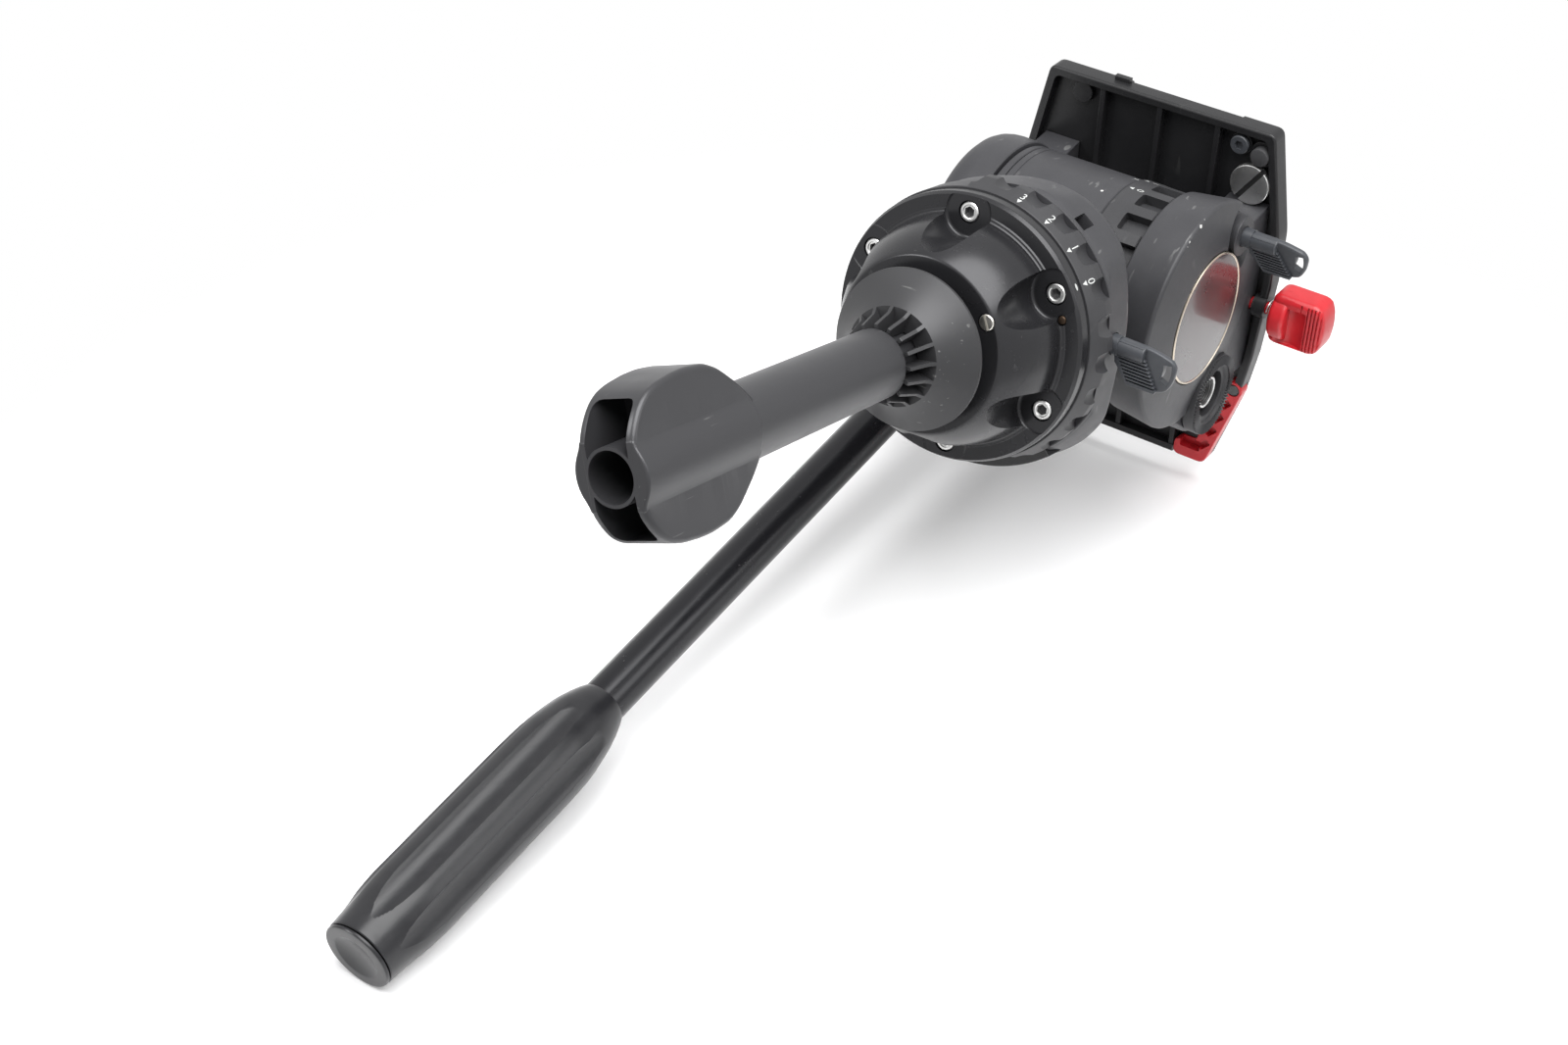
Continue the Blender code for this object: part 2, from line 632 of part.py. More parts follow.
def half_ball():
    """The ball and its flange, one casting, with a scallop and a hole at each screw."""
    sphere = [(sqrt(BALL_RADIUS ** 2 - depth ** 2), -depth)
              for depth in [BALL_DEPTH * i / 6 for i in range(7)]]
    profile = [
        (SPINDLE_RADIUS + GAP, FLANGE_THICKNESS),
        (FLANGE_RADIUS - FLANGE_BEVEL, FLANGE_THICKNESS),
        (FLANGE_RADIUS, FLANGE_THICKNESS - FLANGE_BEVEL),
        (FLANGE_RADIUS, FLANGE_BEVEL),
        (FLANGE_RADIUS - FLANGE_BEVEL, 0)]
    profile += sphere
    profile += [
        (BALL_LIP_BORE, -BALL_DEPTH),
        (BALL_LIP_BORE, BALL_LIP_THICKNESS - BALL_DEPTH),
        (BALL_HOLLOW, 2 * BALL_LIP_THICKNESS - BALL_DEPTH),
        (BALL_HOLLOW, -BALL_WEB),
        (SPINDLE_RADIUS + GAP, -BALL_WEB)]
    ball = turned("half_ball", profile, SATIN, steps=FINE)
    scallops = ring_of_rods("ball_scallops", SCREW_COUNT, SCREW_CIRCLE, SCALLOP_RADIUS,
                            -BALL_DEPTH - OVERRUN, SCALLOP_SINK, COARSE, SCREW_START_DEGREES)
    heads = ring_of_rods("ball_screw_seats", SCREW_COUNT, SCREW_CIRCLE,
                         SCREW_HEAD_RADIUS + GAP, -OVERRUN, SCALLOP_SINK + SCREW_HEAD_HEIGHT,
                         COARSE, SCREW_START_DEGREES)
    shanks = ring_of_rods("ball_screw_holes", SCREW_COUNT, SCREW_CIRCLE,
                          SCREW_SHANK_RADIUS + GAP, 0, FLANGE_THICKNESS + OVERRUN,
                          COARSE, SCREW_START_DEGREES)
    pin_x, pin_y = polar(SCREW_CIRCLE, INDEX_PIN_DEGREES)
    pin_hole = rod("ball_pin_hole", INDEX_PIN_RADIUS + GAP, -OVERRUN, INDEX_PIN_LENGTH,
                   location=(pin_x, pin_y, 0), sides=COARSE)
    stop_x, stop_y = polar(ball_lip_radius - STOP_SCREW_RADIUS, STOP_SCREW_DEGREES)
    stop_hole = rod("ball_stop_hole", STOP_SCREW_RADIUS + GAP, -BALL_DEPTH - OVERRUN,
                    STOP_SCREW_LENGTH - BALL_DEPTH, location=(stop_x, stop_y, 0))
    cut(ball, scallops, heads, shanks, pin_hole, stop_hole)
    rod("flange_pin", INDEX_PIN_RADIUS, -GAP, INDEX_PIN_LENGTH - GAP, BRASSY,
        location=(pin_x, pin_y, 0), sides=COARSE)
    stop = rod("ball_stop_screw", STOP_SCREW_RADIUS, -GAP, STOP_SCREW_LENGTH - GAP, BRIGHT,
               location=(stop_x, stop_y, -BALL_DEPTH), sides=COARSE)
    groove = box("ball_stop_slot", (-OVERRUN * 2, -SLOT_WIDTH / 2, -OVERRUN),
                 (OVERRUN * 2, SLOT_WIDTH / 2, SLOT_WIDTH),
                 location=(stop_x, stop_y, -BALL_DEPTH))
    cut(stop, groove)


def flange_screws():
    """Six hex-socket screws up through the flange into the carrier."""
    for number in range(SCREW_COUNT):
        x, y = polar(SCREW_CIRCLE, SCREW_START_DEGREES + number * 360 / SCREW_COUNT)
        screw = turned(f"flange_screw_{number + 1}", [
            (0, SCREW_LENGTH),
            (SCREW_SHANK_RADIUS, SCREW_LENGTH),
            (SCREW_SHANK_RADIUS, SCREW_HEAD_HEIGHT),
            (SCREW_HEAD_RADIUS, SCREW_HEAD_HEIGHT),
            (SCREW_HEAD_RADIUS, 0),
            (0, 0)], BRIGHT, location=(x, y, SCALLOP_SINK - GAP), steps=COARSE, closed=False)
        socket = rod(f"flange_screw_socket_{number + 1}", SCREW_HEAD_RADIUS / 2, -OVERRUN,
                     SCREW_HEAD_HEIGHT * 0.7, location=(x, y, SCALLOP_SINK - GAP), sides=6)
        cut(screw, socket)


def pan_core():
    """Spindle, bearing and carrier plate, which stay with the ball."""
    turned("pan_spindle", [
        (0, SPINDLE_TOP),
        (SPINDLE_NECK_RADIUS, SPINDLE_TOP),
        (SPINDLE_NECK_RADIUS, base_ceiling),
        (SPINDLE_RADIUS, base_ceiling - GAP),
        (SPINDLE_RADIUS, carrier_bottom + SPINDLE_SHOULDER_HEIGHT),
        (SPINDLE_SHOULDER_RADIUS, carrier_bottom + SPINDLE_SHOULDER_HEIGHT),
        (SPINDLE_SHOULDER_RADIUS, carrier_bottom),
        (SPINDLE_RADIUS, carrier_bottom),
        (SPINDLE_RADIUS, -BALL_WEB - SPINDLE_FOOT),
        (STUD_RADIUS + GAP, -BALL_WEB - SPINDLE_FOOT),
        (STUD_RADIUS + GAP, SPINDLE_SOCKET - BALL_WEB - SPINDLE_FOOT),
        (0, SPINDLE_SOCKET - BALL_WEB - SPINDLE_FOOT)], BRIGHT, closed=False)
    turned("spindle_ring_nut", [
        (RING_NUT_RADIUS, -BALL_WEB - GAP),
        (RING_NUT_RADIUS, -BALL_WEB - RING_NUT_HEIGHT),
        (SPINDLE_RADIUS + GAP, -BALL_WEB - RING_NUT_HEIGHT),
        (SPINDLE_RADIUS + GAP, -BALL_WEB - GAP)], BRIGHT)
    carrier = turned("carrier_plate", [
        (CARRIER_RADIUS, carrier_top),
        (CARRIER_RADIUS, carrier_bottom),
        (SPINDLE_SHOULDER_RADIUS + GAP, carrier_bottom),
        (SPINDLE_SHOULDER_RADIUS + GAP, carrier_top)], CAST, steps=FINE)
    cut(carrier, ring_of_rods(
        "carrier_holes", SCREW_COUNT, SCREW_CIRCLE, SCREW_SHANK_RADIUS + GAP,
        carrier_bottom - OVERRUN, SCALLOP_SINK + SCREW_LENGTH, COARSE, SCREW_START_DEGREES))
    bearing_bottom = carrier_bottom + SPINDLE_SHOULDER_HEIGHT + GAP
    turned("pan_bearing", [
        (SPINDLE_SHOULDER_RADIUS, carrier_top),
        (SPINDLE_SHOULDER_RADIUS, bearing_bottom),
        (SPINDLE_RADIUS + GAP, bearing_bottom),
        (SPINDLE_RADIUS + GAP, carrier_top)], BRIGHT)


def pan_drag_ring():
    """The scalloped ring that sets the pan drag in steps."""
    low, high = carrier_bottom, carrier_bottom + PAN_RING_HEIGHT - GAP
    ring = turned("pan_drag_ring", [
        (PAN_RING_RADIUS, high),
        (PAN_RING_RADIUS, high - PAN_RING_HEIGHT / 3),
        (PAN_RING_BOTTOM_RADIUS, low),
        (CARRIER_RADIUS + GAP, low),
        (CARRIER_RADIUS + GAP, high)], RING, steps=2 * PAN_RING_POCKETS)
    cut(ring, ring_of_rods(
        "pan_ring_pockets", PAN_RING_POCKETS,
        PAN_RING_RADIUS + PAN_POCKET_RADIUS - PAN_POCKET_DEPTH, PAN_POCKET_RADIUS,
        high - PAN_POCKET_HEIGHT, high + OVERRUN, COARSE,
        SCREW_START_DEGREES + 360 / PAN_RING_POCKETS / 2))
    start, end = radians(PAN_FLARE_START_DEGREES), radians(PAN_FLARE_END_DEGREES)
    outline = arc((0, 0), PAN_RING_RADIUS + OVERRUN, start, end, FINE)
    outline += arc((0, 0), PAN_RING_BOTTOM_RADIUS + GAP, end, start, FINE)
    cut(ring, plate("pan_ring_plain_part", outline, low - OVERRUN, high + OVERRUN))


def base_radius(degrees):
    """The base's radius in a direction, from its share table."""
    for (near, low), (far, high) in zip(BASE_SHARES, BASE_SHARES[1:]):
        if near <= degrees <= far:
            share = (degrees - near) / (far - near)
            return BASE_RADIUS * (low + (high - low) * share)
    return BASE_RADIUS * BASE_SHARES[0][1]


def base_blank(name):
    """The base's solid outside, with a draught below and a rounded top edge."""
    levels = (
        (base_bottom, BASE_BOTTOM_RADIUS, 0),
        (base_bottom + BASE_RISE / 2, (BASE_BOTTOM_RADIUS + BASE_RADIUS) / 2, 0),
        (base_bottom + BASE_RISE, BASE_RADIUS, 0),
        (base_top - BASE_ROUNDING / 2, BASE_RADIUS, BASE_ROUNDING / 5),
        (base_top - BASE_ROUNDING / 8, BASE_RADIUS, BASE_ROUNDING / 2),
        (base_top, BASE_RADIUS, BASE_ROUNDING))
    shape = bmesh.new()
    directions = [i * 360 / FINE / 1.5 for i in range(int(FINE * 1.5))]
    rings = []
    for height, most, inset in levels:
        ring = []
        for degrees in directions:
            x, y = polar(min(base_radius(degrees), most) - inset, degrees)
            ring.append(shape.verts.new((x, y, height)))
        rings.append(ring)
    for lower, upper in zip(rings, rings[1:]):
        for i in range(len(lower)):
            k = (i + 1) % len(lower)
            shape.faces.new((lower[i], lower[k], upper[k], upper[i]))
    shape.faces.new(list(reversed(rings[0])))
    shape.faces.new(rings[-1])
    return from_bmesh(name, shape, CAST, None, (0, 0, 0), (0, 0, 0))


def pan_housing():
    """Base, neck and drum in one casting, open below and along the tilt axis."""
    housing = base_blank("pan_housing")
    hollow = rod("base_hollow", base_hollow_radius, base_bottom - OVERRUN, base_ceiling,
                 sides=FINE)
    foot = base_top - BASE_ROOF / 2
    touch = -acos(NECK_HALF_WIDTH / DRUM_RADIUS)
    outline = arc((0, TILT_HEIGHT), DRUM_RADIUS, touch, pi - touch, FINE // 2)
    outline += [(-NECK_HALF_WIDTH, foot), (NECK_HALF_WIDTH, foot)]
    neck = plate("neck_blank", outline, DRUM_LEFT, DRUM_RIGHT, rotation=SIDE_VIEW)
    join(housing, neck)
    bore = rod("drum_bore", DRUM_RADIUS - DRUM_WALL, DRUM_LEFT - OVERRUN,
               DRUM_RIGHT + OVERRUN, location=(0, 0, TILT_HEIGHT), rotation=SPIN_X,
               sides=FINE)
    well = rod("neck_well", NUT_RADIUS + GAP, base_top, TILT_HEIGHT, sides=MEDIUM)
    passage = rod("spindle_passage", SPINDLE_NECK_RADIUS + GAP, base_ceiling - OVERRUN,
                  base_top + OVERRUN, sides=MEDIUM)
    lever = (0, PAN_LEVER_Y, PAN_LEVER_Z)
    scoop = rod("pan_lever_scoop", LEVER_SCOOP_RADIUS, pan_lever_x - LEVER_SCOOP_REACH,
                pan_lever_x + GAP, location=lever, rotation=SPIN_X, sides=MEDIUM,
                end_radius=LEVER_POCKET_RADIUS)
    hole = rod("pan_lever_hole", LEVER_STEM_RADIUS + GAP, pan_lever_x - OVERRUN,
               OVERRUN - base_hollow_radius, location=lever, rotation=SPIN_X)
    recess = level_block("level_recess", GAP, None)
    seat = level_rod("level_vial_seat", LEVEL_VIAL_RADIUS, OVERRUN, None)
    cut(housing, hollow, bore, well, passage, scoop, hole, recess, seat)


def level_block(name, margin, finish):
    """An arc of the base's rim, as the level's cover or as the recess that holds it."""
    start = radians(LEVEL_START_DEGREES) - margin / BASE_RADIUS
    end = radians(LEVEL_END_DEGREES) + margin / BASE_RADIUS
    outer = BASE_RADIUS + (OVERRUN if finish is None else -BASE_ROUNDING / 8)
    inner = BASE_RADIUS - LEVEL_DEPTH - margin
    outline = arc((0, 0), outer, start, end, 9) + arc((0, 0), inner, end, start, 9)
    low = base_bottom - (OVERRUN if finish is None else 0)
    high = base_bottom + LEVEL_HEIGHT + margin
    return plate(name, outline, low, high, finish)


def level_rod(name, radius, above, finish):
    """An upright rod in the rim above the level's cover, as the vial or as its seat."""
    x, y = polar(LEVEL_VIAL_CIRCLE, (LEVEL_START_DEGREES + LEVEL_END_DEGREES) / 2)
    low = base_top - LEVEL_VIAL_HEIGHT + (0 if finish is None else GAP)
    return rod(name, radius, low, base_top + above, finish, location=(x, y, 0), sides=MEDIUM)


def level():
    """The spirit level: a glossy cover let into the rim, with a round vial above it."""
    level_block("level_cover", 0, GLOSS)
    level_rod("level_vial", LEVEL_VIAL_RADIUS - GAP, -GAP, VIAL)


def pan_inside():
    """Damper, brake band and spindle nut inside the pan housing."""
    damper_radius = base_hollow_radius - BAND_THICKNESS - 2 * GAP
    turned("pan_damper", [
        (damper_radius, base_ceiling - GAP),
        (damper_radius, base_bottom),
        (SPINDLE_RADIUS + GAP, base_bottom),
        (SPINDLE_RADIUS + GAP, base_ceiling - GAP)], SATIN)
    band = turned("pan_brake_band", [
        (base_hollow_radius - GAP, base_ceiling - GAP),
        (base_hollow_radius - GAP, base_ceiling - GAP - BAND_HEIGHT),
        (base_hollow_radius - BAND_THICKNESS, base_ceiling - GAP - BAND_HEIGHT),
        (base_hollow_radius - BAND_THICKNESS, base_ceiling - GAP)], BRIGHT)
    cut(band, box("band_split", (-BASE_RADIUS, -BAND_SPLIT / 2, base_bottom - OVERRUN),
                  (0, BAND_SPLIT / 2, base_ceiling), location=(0, PAN_LEVER_Y, 0)))
    turned("spindle_nut", [
        (NUT_RADIUS, base_top + GAP + NUT_HEIGHT),
        (NUT_RADIUS, base_top + GAP),
        (SPINDLE_NECK_RADIUS + GAP, base_top + GAP),
        (SPINDLE_NECK_RADIUS + GAP, base_top + GAP + NUT_HEIGHT)], BRASSY, steps=COARSE)


def tilt_inside():
    """Drum cover, damper cartridge and counterbalance spring, which turn with the pan."""
    axis = (0, 0, TILT_HEIGHT)
    bore = DRUM_RADIUS - DRUM_WALL
    turned("drum_cover", [
        (DRUM_RADIUS, DRUM_RIGHT + GAP + COVER_THICKNESS),
        (DRUM_RADIUS, DRUM_RIGHT + GAP),
        (AXLE_RADIUS + GAP, DRUM_RIGHT + GAP),
        (AXLE_RADIUS + GAP, DRUM_RIGHT + GAP + COVER_THICKNESS)], CAST,
        location=axis, rotation=SPIN_X, steps=FINE)
    turned("tilt_damper", [
        (bore - GAP, DAMPER_END),
        (bore - GAP, DRUM_LEFT),
        (TILT_RING_BORE - GAP, DRUM_LEFT),
        (TILT_RING_BORE - GAP, TILT_RING_LEFT),
        (AXLE_RADIUS + GAP, TILT_RING_LEFT),
        (AXLE_RADIUS + GAP, DAMPER_END)], SATIN, location=axis, rotation=SPIN_X)
    spring = coil("counterbalance_spring", SPRING_COIL_RADIUS, SPRING_WIRE, SPRING_TURNS,
                  DAMPER_END + GAP, DRUM_RIGHT, BRIGHT, None, SPIN_X)
    spring.location = axis


def tilt_drag_ring():
    """The ring with windows that sets the tilt drag in steps."""
    axis = (0, 0, TILT_HEIGHT)
    right = DRUM_LEFT - GAP
    ring = turned("tilt_drag_ring", [
        (TILT_RING_RADIUS, right),
        (TILT_RING_RADIUS, TILT_RING_LEFT),
        (TILT_RING_BORE, TILT_RING_LEFT),
        (TILT_RING_BORE, right)], RING, location=axis, rotation=SPIN_X,
        steps=2 * TILT_RING_WINDOWS)
    pitch = 2 * pi * TILT_RING_RADIUS / TILT_RING_WINDOWS
    cut(ring, ring_of_boxes(
        "tilt_ring_windows", TILT_RING_WINDOWS, TILT_RING_RADIUS - WINDOW_DEPTH,
        TILT_RING_RADIUS + OVERRUN, pitch * WINDOW_SHARE, TILT_RING_LEFT - OVERRUN,
        TILT_RING_LEFT + WINDOW_LENGTH, location=axis, rotation=SPIN_X))


def lever_outline():
    """The paddle's outline: X runs outwards from the hub's root, Y across."""
    return [(LEVER_LENGTH * along, LEVER_WIDTH * across) for along, across in LEVER_SHARES]


def brake_lever(name, parent, location, rise_degrees):
    """A grey ribbed paddle with a ridge over its axis, a slot near its tip and a stem."""
    frame = joint_frame(name + "_axis", parent, location, (radians(-rise_degrees), 0, 0))
    outwards = (0, 0, pi)
    paddle = plate(name, lever_outline(), -LEVER_THICKNESS / 2, LEVER_THICKNESS / 2, LEVER,
                   frame, rotation=outwards)
    bevel(paddle, LEVER_THICKNESS / 4)
    ridge = rod(name + "_ridge", LEVER_HUB_RADIUS, -LEVER_RIDGE, -GAP, None, frame,
                rotation=SPIN_X, sides=COARSE)
    stem = rod(name + "_stem", LEVER_STEM_RADIUS, -LEVER_RIDGE / 2, STEM_REACH, None,
               frame, rotation=SPIN_X, sides=COARSE)
    centre = (LEVER_LENGTH * 0.42, LEVER_WIDTH * 0.28)
    start, end = radians(LEVER_SLOT_START_DEGREES), radians(LEVER_SLOT_END_DEGREES)
    outline = arc(centre, LEVER_SLOT_RADIUS, start, end, 7)
    outline += arc(centre, LEVER_SLOT_RADIUS - LEVER_SLOT_WIDTH, end, start, 7)
    slot = plate(name + "_slot", outline, -LEVER_THICKNESS, LEVER_THICKNESS, None, frame,
                 rotation=outwards)
    shapes = []
    for i in range(LEVER_GROOVES):
        share = i / (LEVER_GROOVES - 1)
        shape = bmesh.new()
        bmesh.ops.create_cube(shape, size=1)
        bmesh.ops.scale(shape, vec=(LEVER_RIDGE * 0.72, LEVER_GROOVE_WIDTH,
                                    LEVER_GROOVE_WIDTH * 2), verts=shape.verts)
        bmesh.ops.translate(
            shape, vec=(LEVER_RIDGE * (0.66 + 0.34 * share),
                        LEVER_WIDTH * (0.38 + 0.52 * share), -LEVER_THICKNESS / 2),
            verts=shape.verts)
        shapes.append(shape)
    grooves = from_bmesh(name + "_grooves", merged(name, shapes), None, frame, (0, 0, 0),
                         outwards)
    join(paddle, ridge, stem)
    cut(paddle, slot, grooves)


def cheek(side, finish_profile, parent):
    """A cheek: round cover on the tilt axis, arm for the rosette behind, foot above."""
    name = "left_cheek" if side < 0 else "right_cheek"
    inner = CHEEK_INNER if side < 0 else RIGHT_CHEEK_INNER

    def span(near, far):
        return sorted((side * near, side * far))

    body = turned(name, finish_profile, CAST, parent, rotation=SPIN_X, steps=FINE)
    arm = plate(name + "_arm",
                tear_outline(CHEEK_INNER_RADIUS - OVERRUN, (ROSETTE_Y, ROSETTE_Z),
                             ARM_TIP_RADIUS, COARSE),
                *span(ARM_INNER, ARM_FACE), None, parent, rotation=SIDE_VIEW)
    bevel(arm, CHEEK_BEVEL / 2)
    foot_top = PLATFORM_WEB - GAP
    foot = plate(name + "_foot", [
        (FOOT_REAR, foot_top),
        (FOOT_REAR, FOOT_BOTTOM),
        (FOOT_FRONT, FOOT_BOTTOM),
        (FOOT_FRONT + CHEEK_BEVEL, foot_top)], *span(inner, CHEEK_OUTER - CHEEK_BEVEL),
        None, parent, rotation=SIDE_VIEW)
    join(body, arm, foot)
    seat_low, seat_high = span(ARM_FACE, CHEEK_OUTER + OVERRUN)
    rosette = (0, ROSETTE_Y, ROSETTE_Z)
    seat = rod(name + "_rosette_seat", ROSETTE_RADIUS + GAP, seat_low, seat_high, None,
               parent, rosette, SPIN_X, sides=MEDIUM)
    hole_low, hole_high = span(ARM_FACE + INSERT_PROUD - INSERT_LENGTH - GAP,
                               ARM_FACE + OVERRUN)
    hole = rod(name + "_insert_hole", INSERT_RADIUS + GAP, hole_low, hole_high, None,
               parent, rosette, SPIN_X, sides=MEDIUM)
    axle_low, axle_high = span(inner - OVERRUN, AXLE_END + GAP)
    axle = rod(name + "_axle_hole", AXLE_RADIUS + GAP, axle_low, axle_high, None, parent,
               rotation=SPIN_X, sides=MEDIUM)
    cut(body, seat, hole, axle)
    for number, y in enumerate((CHEEK_SCREW_MIDDLE - CHEEK_SCREW_SPREAD,
                                CHEEK_SCREW_MIDDLE + CHEEK_SCREW_SPREAD)):
        place_at = (side * cheek_screw_x, y, RAIL_TOP - GAP)
        cut(body, rod(f"{name}_thread_{number}", CHEEK_SCREW_SHANK + GAP,
                      -CHEEK_SCREW_LENGTH - GAP, 0, None, parent, place_at))
        cap_screw(f"{name}_screw_{number + 1}", place_at, parent)
    toothed_ring(name + "_rosette", RING, parent, (side * ARM_FACE + side * GAP,
                 ROSETTE_Y, ROSETTE_Z), (0, side * pi / 2, 0), 0)
    insert_low, insert_high = span(ARM_FACE + INSERT_PROUD - INSERT_LENGTH,
                                   ARM_FACE + INSERT_PROUD)
    turned(name + "_insert", [
        (INSERT_RADIUS, insert_high),
        (INSERT_RADIUS, insert_low),
        (INSERT_BORE, insert_low),
        (INSERT_BORE, insert_high)], BRIGHT, parent, rosette, SPIN_X)
    return body


def cap_screw(name, location, parent):
    """A hex-socket screw, head up, with its top at the given point."""
    screw = turned(name, [
        (0, 0),
        (CHEEK_SCREW_RADIUS, 0),
        (CHEEK_SCREW_RADIUS, -CHEEK_SCREW_HEIGHT),
        (CHEEK_SCREW_SHANK, -CHEEK_SCREW_HEIGHT),
        (CHEEK_SCREW_SHANK, -CHEEK_SCREW_LENGTH),
        (0, -CHEEK_SCREW_LENGTH)], BRIGHT, parent, location, steps=COARSE, closed=False)
    cut(screw, rod(name + "_socket", CHEEK_SCREW_RADIUS / 2, -CHEEK_SCREW_HEIGHT * 0.7,
                   OVERRUN, None, parent, location, sides=6))


def cheeks(parent):
    """Both cheeks with the axle, badge and brake-lever scoop."""
    left = cheek(-1, [
        (0, -CHEEK_INNER),
        (CHEEK_INNER_RADIUS, -CHEEK_INNER),
        (CHEEK_RADIUS, CHEEK_BEVEL - CHEEK_OUTER),
        (CHEEK_RADIUS - CHEEK_BEVEL, -CHEEK_OUTER),
        (0, -CHEEK_OUTER)], parent)
    right = cheek(1, [
        (0, CHEEK_OUTER),
        (CAP_FACE_RADIUS, CHEEK_OUTER),
        ((CAP_FACE_RADIUS + RIGHT_CHEEK_RADIUS) / 2, CHEEK_OUTER - CHEEK_BEVEL * 0.4),
        (RIGHT_CHEEK_RADIUS - CHEEK_BEVEL / 2, CHEEK_OUTER - CHEEK_BEVEL * 1.5),
        (RIGHT_CHEEK_RADIUS, CHEEK_OUTER - CHEEK_BEVEL * 3.5),
        (RIGHT_CHEEK_RADIUS - GAP, RIGHT_CHEEK_INNER),
        (0, RIGHT_CHEEK_INNER)], parent)
    rod("tilt_axle", AXLE_RADIUS, -AXLE_END, AXLE_END, BRIGHT, parent, rotation=SPIN_X,
        sides=MEDIUM)
    recess = rod("badge_recess", BADGE_RADIUS + GAP, -CHEEK_OUTER - OVERRUN,
                 BADGE_SINK - CHEEK_OUTER, None, parent, rotation=SPIN_X, sides=FINE)
    back = BADGE_SINK - CHEEK_OUTER - GAP
    turned("badge", [
        (0, back),
        (BADGE_RADIUS, back),
        (BADGE_RADIUS, back - BADGE_THICKNESS * 0.8),
        (BADGE_RADIUS - BADGE_THICKNESS / 2, back - BADGE_THICKNESS),
        (0, back - BADGE_THICKNESS)], BADGE_METAL, parent, rotation=SPIN_X, steps=FINE,
        closed=False)
    lever = (0, TILT_LEVER_Y, TILT_LEVER_Z)
    scoop = rod("tilt_lever_scoop", CHEEK_SCOOP_RADIUS, -CHEEK_OUTER - OVERRUN,
                CHEEK_SCOOP_DEPTH - CHEEK_OUTER, None, parent, lever, SPIN_X, sides=MEDIUM)
    boss = rod("tilt_lever_boss", LEVER_POCKET_RADIUS, -CHEEK_OUTER,
               CHEEK_SCOOP_DEPTH - CHEEK_OUTER + OVERRUN, None, parent, lever, SPIN_X,
               sides=MEDIUM)
    hole = rod("tilt_lever_hole", LEVER_STEM_RADIUS + GAP, -CHEEK_OUTER - OVERRUN,
               STEM_REACH - CHEEK_OUTER, None, parent, lever, SPIN_X)
    cut(left, recess, scoop)
    join(left, boss)
    cut(left, hole)
    shaft = rod("left_cheek_shaft_groove", CLAMP_SHAFT_RADIUS + 2 * GAP,
                -CHEEK_OUTER - OVERRUN, OVERRUN - CHEEK_INNER, None, parent,
                (0, CLAMP_Y, CLAMP_Z), SPIN_X)
    room = box("left_cheek_jaw_room",
               (CHANNEL_LEFT - JAW_WIDTH - OVERRUN, CLAMP_Y - JAW_FOOT_WIDTH / 2 - OVERRUN,
                JAW_FOOT_BOTTOM - OVERRUN),
               (OVERRUN - CHEEK_INNER + JAW_TRAVEL,
                CLAMP_Y + JAW_FOOT_WIDTH / 2 + OVERRUN, PLATFORM_WEB), None, parent)
    cut(left, shaft, room)
    return left, right


def platform_outline(inset=0.0):
    """The platform's plan, moved inwards by an inset."""
    half = []
    for x_share, front_share, rear_share in PLATFORM_SHARES:
        half.append((platform_half_width * x_share,
                     PLATFORM_FRONT * front_share - PLATFORM_REAR * rear_share))
    points = [Vector(point) for point in half]
    points += [Vector((-x, y)) for x, y in reversed(half)]
    if not inset:
        return [tuple(point) for point in points]
    moved = []
    for i, point in enumerate(points):
        before = (point - points[i - 1]).normalized()
        after = (points[(i + 1) % len(points)] - point).normalized()
        normal_before = Vector((before.y, -before.x))
        normal_after = Vector((after.y, -after.x))
        middle = (normal_before + normal_after).normalized()
        moved.append(tuple(point + middle * (inset / middle.dot(normal_before))))
    return moved


